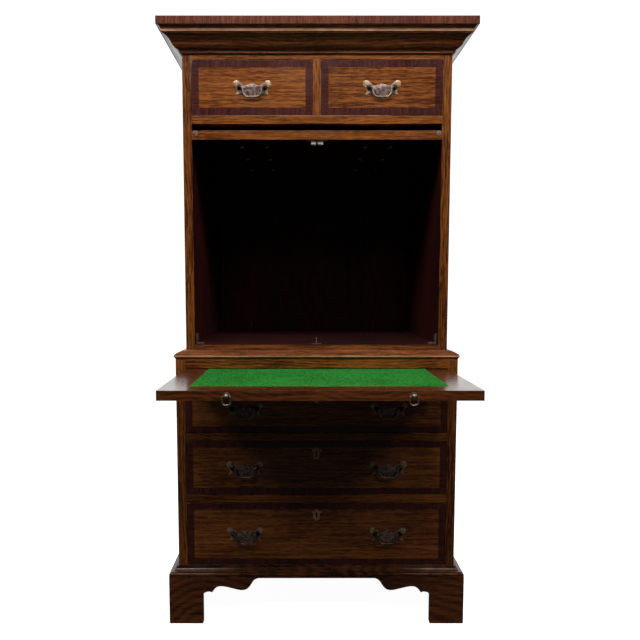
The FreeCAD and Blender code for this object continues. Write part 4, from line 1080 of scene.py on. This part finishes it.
@dataclass
class Mouldings:
    """Cornice, waist and base mouldings, with the cornice's crossbanded fascia."""

    FRONT, RETURN, FASCIA = range(3)

    arris: float = 0.6 * MM
    shortest: float = 30 * MM
    bead_below_top: Pair = (33.8 * MM, 27.3 * MM)
    nose_above_foot: float = 11 * MM
    nose_reach: float = 2.1 * MM

    def build(self) -> None:
        """Finish the three mouldings."""
        low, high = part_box("cornice_moulding")
        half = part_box("upper_right_side")[1].x
        bead_low, bead_high = (high.z - drop for drop in self.bead_below_top)

        def cornice(middle: Vector, normal: Vector) -> int:
            """Number a face of the cornice. The bead takes the worn arris wood as a painted highlight, and its number
            follows the fascia's.

            Args:
                middle: The face's middle.
                normal: Its normal.

            Returns:
                The number of its material.
            """
            flush = middle.y < low.y + MM or abs(middle.x) > high.x - MM
            if flush and abs(normal.z) < LEANS:
                return self.FASCIA
            if bead_low < middle.z < bead_high:
                return self.FASCIA + 1
            return self.RETURN if abs(middle.x) > half and abs(normal.y) < LEANS else self.FRONT

        bench = Bench("cornice_moulding")
        bench.paint(cornice)
        self.finish(bench, MOULDED, 20, FASCIA.along(Grain.Z, 22))
        for seed, node, wood in ((23, "waist_moulding", MOULDED), (24, "base_moulding", PLINTH)):
            bench = Bench(node)
            bench.paint_solids(lambda low, high: self.FRONT if high.x - low.x > high.y - low.y else self.RETURN)
            # The waist's nose takes the worn arris wood as a painted highlight along its length.
            if node == "waist_moulding":
                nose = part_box(node)[0].z + self.nose_above_foot
                for face in bench.mesh.faces:
                    if abs(face.calc_center_median().z - nose) < self.nose_reach:
                        face.material_index = self.RETURN + 1
            self.finish(bench, wood, seed)

    def finish(self, bench: Bench, wood: WoodFinish, seed: int, *more: Material) -> None:
        """Finish one moulding: its front, its returns, what more it shows, and last the worn arrises with their
        painted highlight.
        """
        bench.finish(Slot.MOULDING, wood.along(Grain.X, seed), wood.along(Grain.Y, seed + 10), *more,
                     arris=self.arris, shortest=self.shortest, wear_and_highlight=True)


@dataclass
class Plinth:
    """The scrolled bracket feet, their back brackets and blocks."""

    arris: float = 1.0 * MM

    def build(self) -> None:
        """Finish the plinth's boards: front, sides, and the plain brackets and blocks."""
        half = (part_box("bracket_plinth")[1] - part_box("bracket_plinth")[0]) / 2
        bench = Bench("bracket_plinth")
        bench.paint_solids(lambda low, high: 0 if high.x - low.x > half.x else 1 if high.y - low.y > half.y else 2)
        bench.finish(Slot.MOULDING, PLINTH.along(Grain.X, 30), PLINTH.along(Grain.Y, 31), CARCASS.along(Grain.X, 32),
                     arris=self.arris)


@dataclass
class BandedFronts:
    """Veneered fronts: a field of oak inside a mitred border of crossbanding."""

    FIELD, RAILS, ENDS, EDGES = range(4)
    HAIR = 0.1 * MM

    bench: Bench
    facing: Vector
    rise: int
    band: float

    def build(self, seed: float, arris: float) -> None:
        """Saw and number the border of each front, then finish the fronts.

        Args:
            seed: Number that picks the figure.
            arris: Width of the worn rounding, which also takes a painted highlight.
        """
        for _, low, high in self.bench.solids():
            for axis in (0, self.rise):
                for place in (low[axis] + self.band, high[axis] - self.band):
                    self.bench.saw(on_axis(axis, place), on_axis(axis, 1.0), self.shown(low, high))
            for end in (low, high):
                for rail in (low, high):
                    self.mitre(end.x, rail[self.rise], low, high)
        for faces, low, high in self.bench.solids():
            for face in faces:
                face.material_index = self.part(face, low, high)
        grain = tuple(Grain)[self.rise]
        self.bench.finish(Slot.BANDED, FIELD.along(Grain.X, seed), BANDING.along(grain, seed),
                          BANDING.along(Grain.X, seed), OAK.along(Grain.X, seed), arris=arris, wear_and_highlight=True)

    def part(self, face: Face, low: Vector, high: Vector) -> int:
        """Tell which part of a front a face is.

        Args:
            face: The face.
            low: Lowest corner of the front.
            high: Highest corner of the front.

        Returns:
            The number of the part's material.
        """
        if face.normal.dot(self.facing) < FACES:
            return self.EDGES
        middle = face.calc_center_median()
        ends, rails = (min(middle[axis] - low[axis], high[axis] - middle[axis]) for axis in (0, self.rise))
        if min(ends, rails) > self.band - self.HAIR:
            return self.FIELD
        return self.RAILS if rails < ends else self.ENDS

    def shown(self, low: Vector, high: Vector) -> list[Face]:
        """Find the faces that one front shows.

        Args:
            low: Lowest corner of the front.
            high: Highest corner of the front.

        Returns:
            The faces now.
        """
        found = []
        for face in self.bench.mesh.faces:
            middle = face.calc_center_median()
            inside = all(low[axis] - MM < middle[axis] < high[axis] + MM for axis in range(3))
            if inside and face.normal.dot(self.facing) > FACES:
                found.append(face)
        return found

    def mitre(self, end: float, rail: float, low: Vector, high: Vector) -> None:
        """Cut the diagonal joint of one corner.

        Args:
            end: The corner's place along X.
            rail: The corner's place up the front.
            low: Lowest corner of the front.
            high: Highest corner of the front.
        """
        middle = (low + high) / 2
        corner = on_axis(0, end) + on_axis(self.rise, rail)
        inwards = on_axis(0, math.copysign(1, middle.x - end))
        upwards = on_axis(self.rise, math.copysign(1, middle[self.rise] - rail))
        square = []
        for face in self.shown(low, high):
            reach = face.calc_center_median() - corner
            if abs(reach.x) < self.band and abs(reach[self.rise]) < self.band:
                square.append(face)
        self.bench.saw(corner, (inwards - upwards).normalized(), square)


@dataclass
class Brasses:
    """Pull handles, escutcheons, knobs and rings."""

    PLATE, POST, NUT, SHIELD, GLIDE = range(5)

    rim: float = 0.3 * MM
    plate_span: float = 40 * MM
    thin: float = 2 * MM
    glide_span: float = 16 * MM
    post_span: float = 25 * MM
    shield_outline: tuple[Pair, ...] = ((0, 1), (0.13, 0.74), (0.3, 0.6), (0.6, 0.54), (0.9, 0.46), (0.86, 0.28),
                                        (0.64, 0.14), (0.56, -0.1), (0.6, -0.4), (0.52, -0.7), (0.3, -0.92),
                                        (0, -1))
    keyhole_outline: tuple[Pair, ...] = ((0, 0.3), (0.13, 0.24), (0.18, 0.1), (0.12, -0.04), (0.1, -0.48),
                                         (0, -0.5))

    def kind(self, low: Vector, high: Vector) -> int:
        """Tell from its size what a solid of the fittings is.

        Args:
            low: Its lowest corner.
            high: Its highest corner.

        Returns:
            The number of its material.
        """
        sides = sorted(high - low)
        width = high.x - low.x
        if sides[0] >= self.thin:
            return self.POST if sides[2] > self.post_span else self.NUT
        if width >= self.plate_span:
            return self.PLATE
        return self.SHIELD if width > self.glide_span else self.GLIDE

    def fittings(self, body: str) -> None:
        """Finish the mounts and escutcheons of one drawer or of the door.

        Args:
            body: The body that carries them.
        """
        bench = Bench(f"{body}_fittings", body)
        self.cut_shields(bench)
        bench.paint_solids(self.kind)
        bench.map_plates(self.thin)
        bench.finish(Slot.BRASS, PLATE.material(), DULL_BRASS.material(), STEEL.material(), SHIELD.material(),
                     GREY_STEEL.material(), arris=self.rim, facet=ARRIS_ANGLE)

    def cut_shields(self, bench: Bench) -> None:
        """Saw each escutcheon to its crested outline, with its keyhole.

        Args:
            bench: The bench that holds the fittings.
        """
        mesh = bench.mesh
        for faces, low, high in bench.solids():
            if self.kind(low, high) != self.SHIELD:
                continue
            bmesh.ops.delete(mesh, geom=faces, context="FACES")
            depth, rise = (1, 2) if high.z - low.z > self.thin else (2, 1)
            middle, half = (low + high) / 2, (high - low) / 2
            edges = []
            for outline in (self.shield_outline, self.keyhole_outline):
                verts = []
                for across, level in (*outline, *((-across, level) for across, level in outline[-2:0:-1])):
                    place = on_axis(0, middle.x + across * half.x) + on_axis(depth, low[depth])
                    verts.append(mesh.verts.new(place + on_axis(rise, middle[rise] + level * half[rise])))
                edges += [mesh.edges.new(pair) for pair in zip(verts, verts[1:] + verts[:1])]
            filled = bmesh.ops.triangle_fill(mesh, use_beauty=True, edges=edges)["geom"]
            sheet = [item for item in filled if isinstance(item, Face)]
            raised = bmesh.ops.extrude_face_region(mesh, geom=sheet, use_keep_orig=True)["geom"]
            lifted = [item for item in raised if isinstance(item, bmesh.types.BMVert)]
            for vert in lifted:
                vert.co[depth] = high[depth]
            solid = dict.fromkeys([*sheet, *(face for vert in lifted for face in vert.link_faces)])
            bmesh.ops.recalc_face_normals(mesh, faces=list(solid))

    @staticmethod
    def bails(*bodies: str) -> None:
        """Finish some bails or rings, each a body with one node of its own name."""
        for body in bodies:
            Bench(body, body).finish(Slot.BRASS, WIRE.material(), facet=ARRIS_ANGLE)


@dataclass
class Drawers:
    """Fronts, boxes, dovetails and brasses of the five drawers."""

    upper_band: float = 18 * MM
    lower_band: float = 17 * MM
    arris: float = 0.8 * MM
    box_arris: float = 1.2 * MM
    tail_depth: float = 12 * MM
    tail_thickness: float = 3 * MM
    tail_pitch: float = 34 * MM
    tail_rise: float = 0.3 * MM
    tail_share: float = 0.6

    def build(self) -> None:
        """Finish each drawer and its bails."""
        tails = Dovetails()
        for seed, name in enumerate(("left_short", "right_short", "top", "middle", "bottom")):
            short = name.endswith("short")
            body = f"{name}_drawer"
            band = self.upper_band if short else self.lower_band
            BandedFronts(Bench(f"{body}_front", body), on_axis(1, -1.0), 2, band).build(40 + seed, self.arris)
            self.box(body, 50 + seed)
            self.tails(tails, body, seed)
            Brasses().fittings(body)
            Brasses().bails(*(f"{body}_bail{side}" for side in (("",) if short else ("_left", "_right"))))

    def box(self, body: str, seed: int) -> None:
        """Finish one drawer's box: its sides and bottom, and the boards that run across.

        Args:
            body: The drawer.
            seed: Number that picks the figure.
        """
        bench = Bench(f"{body}_box", body)
        low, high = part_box(bench.node)
        half = (high.z - low.z) / 2

        def across(first: Vector, last: Vector) -> int:
            """Tell whether a board runs across the drawer."""
            span = last - first
            return 0 if span.y > span.x or span.z < half else 1

        bench.paint_solids(across)
        bench.finish(Slot.CARCASS, CARCASS.along(Grain.Y, seed), CARCASS.along(Grain.X, seed + 5),
                     arris=self.box_arris)

    def tails(self, tails: Dovetails, body: str, seed: int) -> None:
        """Lap the sides' tails into the ends of the front.

        Args:
            tails: The pattern.
            body: The drawer.
            seed: Number that picks the figure.
        """
        front_low, front_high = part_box(f"{body}_front")
        box_low, box_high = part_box(f"{body}_box")
        count = round((box_high.z - box_low.z) / self.tail_pitch)
        pitch = (box_high.z - box_low.z) / count
        sizes = {"Thickness": self.tail_thickness, "Width": pitch * self.tail_share, "Depth": self.tail_depth}
        places = []
        for edge, sign in ((front_low.x, -1), (front_high.x, 1)):
            across = edge + sign * (self.tail_rise - self.tail_thickness / 2)
            for row in range(count):
                place = Vector((across, front_high.y - self.tail_depth / 2, box_low.z + pitch * (row + 0.5)))
                places.append((place, on_axis(1, -1.0)))
        tails.lay(f"{body}_tails", body, Slot.CARCASS, places, CARCASS.along(Grain.Y, 50 + seed), seed, sizes)


@dataclass
class Door:
    """The up-and-over door with its false drawer fronts, brasses, shoes and catch."""

    band: float = 18 * MM
    arris: float = 1.0 * MM
    metal_rim: float = 0.2 * MM
    screw_inset: float = 5.5 * MM
    catch_plate: float = 1.2 * MM
    stop_thickness: float = 4.5 * MM
    stop_screw_inset: float = 10 * MM
    stop_screw_drop: float = 8 * MM
    stop_screw_radius: float = 2.2 * MM
    strike_screw: float = 9.5 * MM
    strike_plate: float = 1.5 * MM

    def build(self) -> None:
        """Finish the door and what it carries."""
        panel = Bench("door_panel", "door")
        # The door's underside takes the painted cavity shade.
        panel.paint(lambda middle, normal: 1 if normal.z < -LEANS else 0)
        panel.finish(Slot.OAK, FIELD.along(Grain.X, 60), CAVITY_SHADE.along(Grain.X, 61), arris=self.arris)
        BandedFronts(Bench("door_false_fronts", "door"), on_axis(2, 1.0), 1, self.band).build(62, self.arris / 2)
        Brasses().fittings("door")
        for row in ("bottom", "middle", "top"):
            Brasses().bails(f"door_bail_{row}_left", f"door_bail_{row}_right")
        metal = (("roller_catch", "door", Slot.BRASS, STEEL),
                 ("catch_roller_left", "catch_roller_left", Slot.STEEL, STEEL),
                 ("catch_roller_right", "catch_roller_right", Slot.STEEL, STEEL),
                 ("door_shoes", "door_carriage", Slot.BRASS, DULL_BRASS),
                 ("door_stops", "case", Slot.BRASS, GREY_STEEL))
        for node, body, slot, finish in metal:
            Bench(node, body).finish(slot, finish.material(), arris=self.metal_rim)
        self.screws()

    def screws(self) -> None:
        """Set the screws of the catch's plate, of the stops and of the strike."""
        screws = SlottedScrews()
        up, down = on_axis(2, 1.0), on_axis(2, -1.0)
        low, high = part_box("roller_catch")
        middle = (low.y + high.y) / 2
        places = [(Vector((side * (high.x - self.screw_inset), middle, high.z - self.catch_plate)), down)
                  for side in (-1, 1)]
        screws.lay("catch_screws", "door", Slot.STEEL, places, STEEL.material(), 3)
        low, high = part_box("door_stops")
        middle = (low.y + high.y) / 2
        places = []
        for side in (-1, 1):
            wall = side * (high.x - self.stop_thickness)
            foot = Vector((wall - side * self.stop_screw_inset, middle, low.z + self.stop_thickness))
            places += [(foot, up), (Vector((wall, middle, high.z - self.stop_screw_drop)), on_axis(0, -side)),
                       (Vector((side * self.strike_screw, middle, low.z + self.strike_plate)), up)]
        screws.lay("stop_screws", "case", Slot.STEEL, places, GREY_STEEL.material(), 5,
                   {"Radius": self.stop_screw_radius})


@dataclass
class Slide:
    """The pull-out board, its baize, knobs and rings."""

    arris: float = 2.6 * MM

    def build(self) -> None:
        """Finish the slide."""
        # The slide's front arris takes the worn wood with its painted highlight.
        Bench("slide_board", "slide").finish(Slot.OAK, LEAF.along(Grain.X, 70), arris=self.arris, wear_and_highlight=True)
        cloth = Bench("slide_baize", "slide").finish(Slot.BAIZE, BAIZE.material())
        Bench("slide_knobs", "slide").finish(Slot.BRASS, WIRE.material(), arris=Brasses.rim, facet=ARRIS_ANGLE)
        Brasses().bails("slide_ring_left", "slide_ring_right")


@dataclass(frozen=True)
class Lamp:
    """A soft lamp: its place, its two sides, its power in watts, and whether what is glossy shows it."""

    name: str
    place: Triple
    sides: Pair
    power: float
    glossy: bool = True


@dataclass
class Studio:
    """A plain white studio: floor, backdrop, soft lamps and the camera of the photograph."""

    image_size: float = 640
    axis_x: float = 302.5
    axis_y: float = 349.6
    focal_pixels: float = 700
    sensor: float = 36
    pitch: float = math.radians(5.4)
    eye: Triple = (-0.038, -1.98275, 0.9263)
    aim: Triple = (0.0, 0.0, 0.95)
    backdrop_y: float = 3.6
    reach: float = 9.0
    bounce: float = 0.07
    caught: float = 0.8
    floor_gloss: float = 0.55
    wall_gloss: float = 1.2
    shadow: float = 0.03
    shadow_range: Pair = (1.14, 1.9)
    room: float = 0.016
    room_gloss: float = 0.02
    sheet_across: Pair = (1.85, 2.4)
    sheet_up: Pair = (3.2, 3.8)
    sheet_foot: Pair = (0.75, 0.4)
    screen: float = 0.08
    lamp_plan: tuple[Lamp, ...] = (Lamp("key lamp", (-0.1, -1.7, 3.1), (2.1, 0.7), 55.0),
                                   Lamp("fill lamp", (0.0, -2.4, 2.4), (1.6, 0.5), 8.0, glossy=False),
                                   Lamp("left lamp", (-1.85, -1.5, 2.75), (0.5, 0.8), 17.5),
                                   Lamp("right lamp", (1.85, -1.5, 2.75), (0.5, 0.8), 17.5),
                                   Lamp("back lamp", (0.1, 2.9, 2.2), (2.0, 1.2), 42.0, glossy=False))

    def build(self) -> None:
        """Set up the studio."""
        self.camera()
        self.stage()
        self.world()
        self.lamps()
        bpy.context.scene.view_settings.view_transform = "Standard"

    def camera(self) -> None:
        """Place the camera at the photograph's viewpoint."""
        data = bpy.data.cameras.new("camera")
        data.sensor_width = self.sensor
        data.lens = self.focal_pixels * self.sensor / self.image_size
        data.shift_x = (self.image_size / 2 - self.axis_x) / self.image_size
        data.shift_y = (self.axis_y - self.image_size / 2) / self.image_size
        camera = shown_object("camera", data)
        camera.location = self.eye
        camera.rotation_euler = (math.pi / 2 - self.pitch, 0, 0)
        bpy.context.scene.camera = camera

    def stage(self) -> None:
        """Lay the floor and hang the backdrop."""
        side, back = self.reach, self.backdrop_y
        floor = ((-side, -side, 0), (side, -side, 0), (side, side, 0), (-side, side, 0))
        wall = ((-side, back, 0), (side, back, 0), (side, back, side), (-side, back, side))
        for name, corners, gloss in (("floor", floor, self.floor_gloss), ("backdrop", wall, self.wall_gloss)):
            data = bpy.data.meshes.new(name)
            data.from_pydata(corners, [], [(0, 1, 2, 3)])
            data.materials.append(self.paper(name, gloss))
            shown_object(name, data)

    def paper(self, name: str, gloss: float) -> Material:
        """White paper that takes a soft shadow near the object and is plain white further off.

        Args:
            name: The paper's name.
            gloss: Brightness that what is glossy sees.

        Returns:
            The material.
        """
        material = bpy.data.materials.new(name + " paper")
        nodes = emptied(material)
        place = nodes.add("ShaderNodeTexCoord").outputs["Object"]
        from_middle = nodes.add("ShaderNodeVectorMath", {0: place}, operation="LENGTH").outputs["Value"]
        strength = nodes.span(from_middle, *self.shadow_range, 1.0 - self.shadow, 1.0)
        bounce, caught = (nodes.out("ShaderNodeBsdfDiffuse", {"Color": (level, level, level, 1)})
                          for level in (self.bounce, self.caught))
        white = nodes.out("ShaderNodeEmission", {"Strength": strength})
        shown = nodes.out("ShaderNodeAddShader", {0: white, 1: caught})
        x, _, up = nodes.parts(place)
        screened = nodes.span(nodes.math("ABSOLUTE", x), *self.sheet_across, gloss, gloss * self.screen)
        for edges in (self.sheet_up, self.sheet_foot):
            screened = nodes.math("MULTIPLY", screened, nodes.span(up, *edges, 1.0, self.screen))
        glossy = nodes.out("ShaderNodeEmission", {"Strength": screened})
        path = nodes.add("ShaderNodeLightPath").outputs
        mixed = nodes.out("ShaderNodeMixShader", {0: path["Is Glossy Ray"], 1: bounce, 2: glossy})
        seen = nodes.math("MAXIMUM", path["Is Camera Ray"], path["Is Transmission Ray"])
        whole = nodes.out("ShaderNodeMixShader", {0: seen, 1: mixed, 2: shown})
        nodes.add("ShaderNodeOutputMaterial", {"Surface": whole})
        return material

    def world(self) -> None:
        """White behind the object, dim round it."""
        world = bpy.data.worlds.new("studio")
        bpy.context.scene.world = world
        nodes = emptied(world)
        path = nodes.add("ShaderNodeLightPath").outputs
        seen = nodes.math("MAXIMUM", path["Is Camera Ray"], path["Is Transmission Ray"])
        glossy = nodes.math("MULTIPLY", path["Is Glossy Ray"], self.room_gloss)
        strength = nodes.math("MAXIMUM", nodes.math("MAXIMUM", seen, glossy), self.room)
        light = nodes.out("ShaderNodeBackground", {"Color": (1, 1, 1, 1), "Strength": strength})
        nodes.add("ShaderNodeOutputWorld", {"Surface": light})

    def lamps(self) -> None:
        """Hang one large lamp above the front, a weak one before it, one at each side and one behind."""
        for plan in self.lamp_plan:
            data = bpy.data.lights.new(plan.name, "AREA")
            data.shape = "RECTANGLE"
            data.size, data.size_y = plan.sides
            data.energy = plan.power
            lamp = shown_object(plan.name, data)
            lamp.location = plan.place
            lamp.visible_glossy = plan.glossy
            lamp.rotation_euler = (Vector(self.aim) - Vector(plan.place)).to_track_quat("-Z", "Y").to_euler()


def main() -> None:
    """Build the sub-assemblies in order."""
    logging.basicConfig(level=logging.INFO, format="%(message)s")
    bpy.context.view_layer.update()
    for assembly in (Studio(), UpperCase(), LowerCase(), BackBoards(), Mouldings(), Plinth(), Drawers(), Door(),
                     Slide()):
        LOG.info("building %s", type(assembly).__name__)
        assembly.build()


if __name__ == "__main__":
    main()
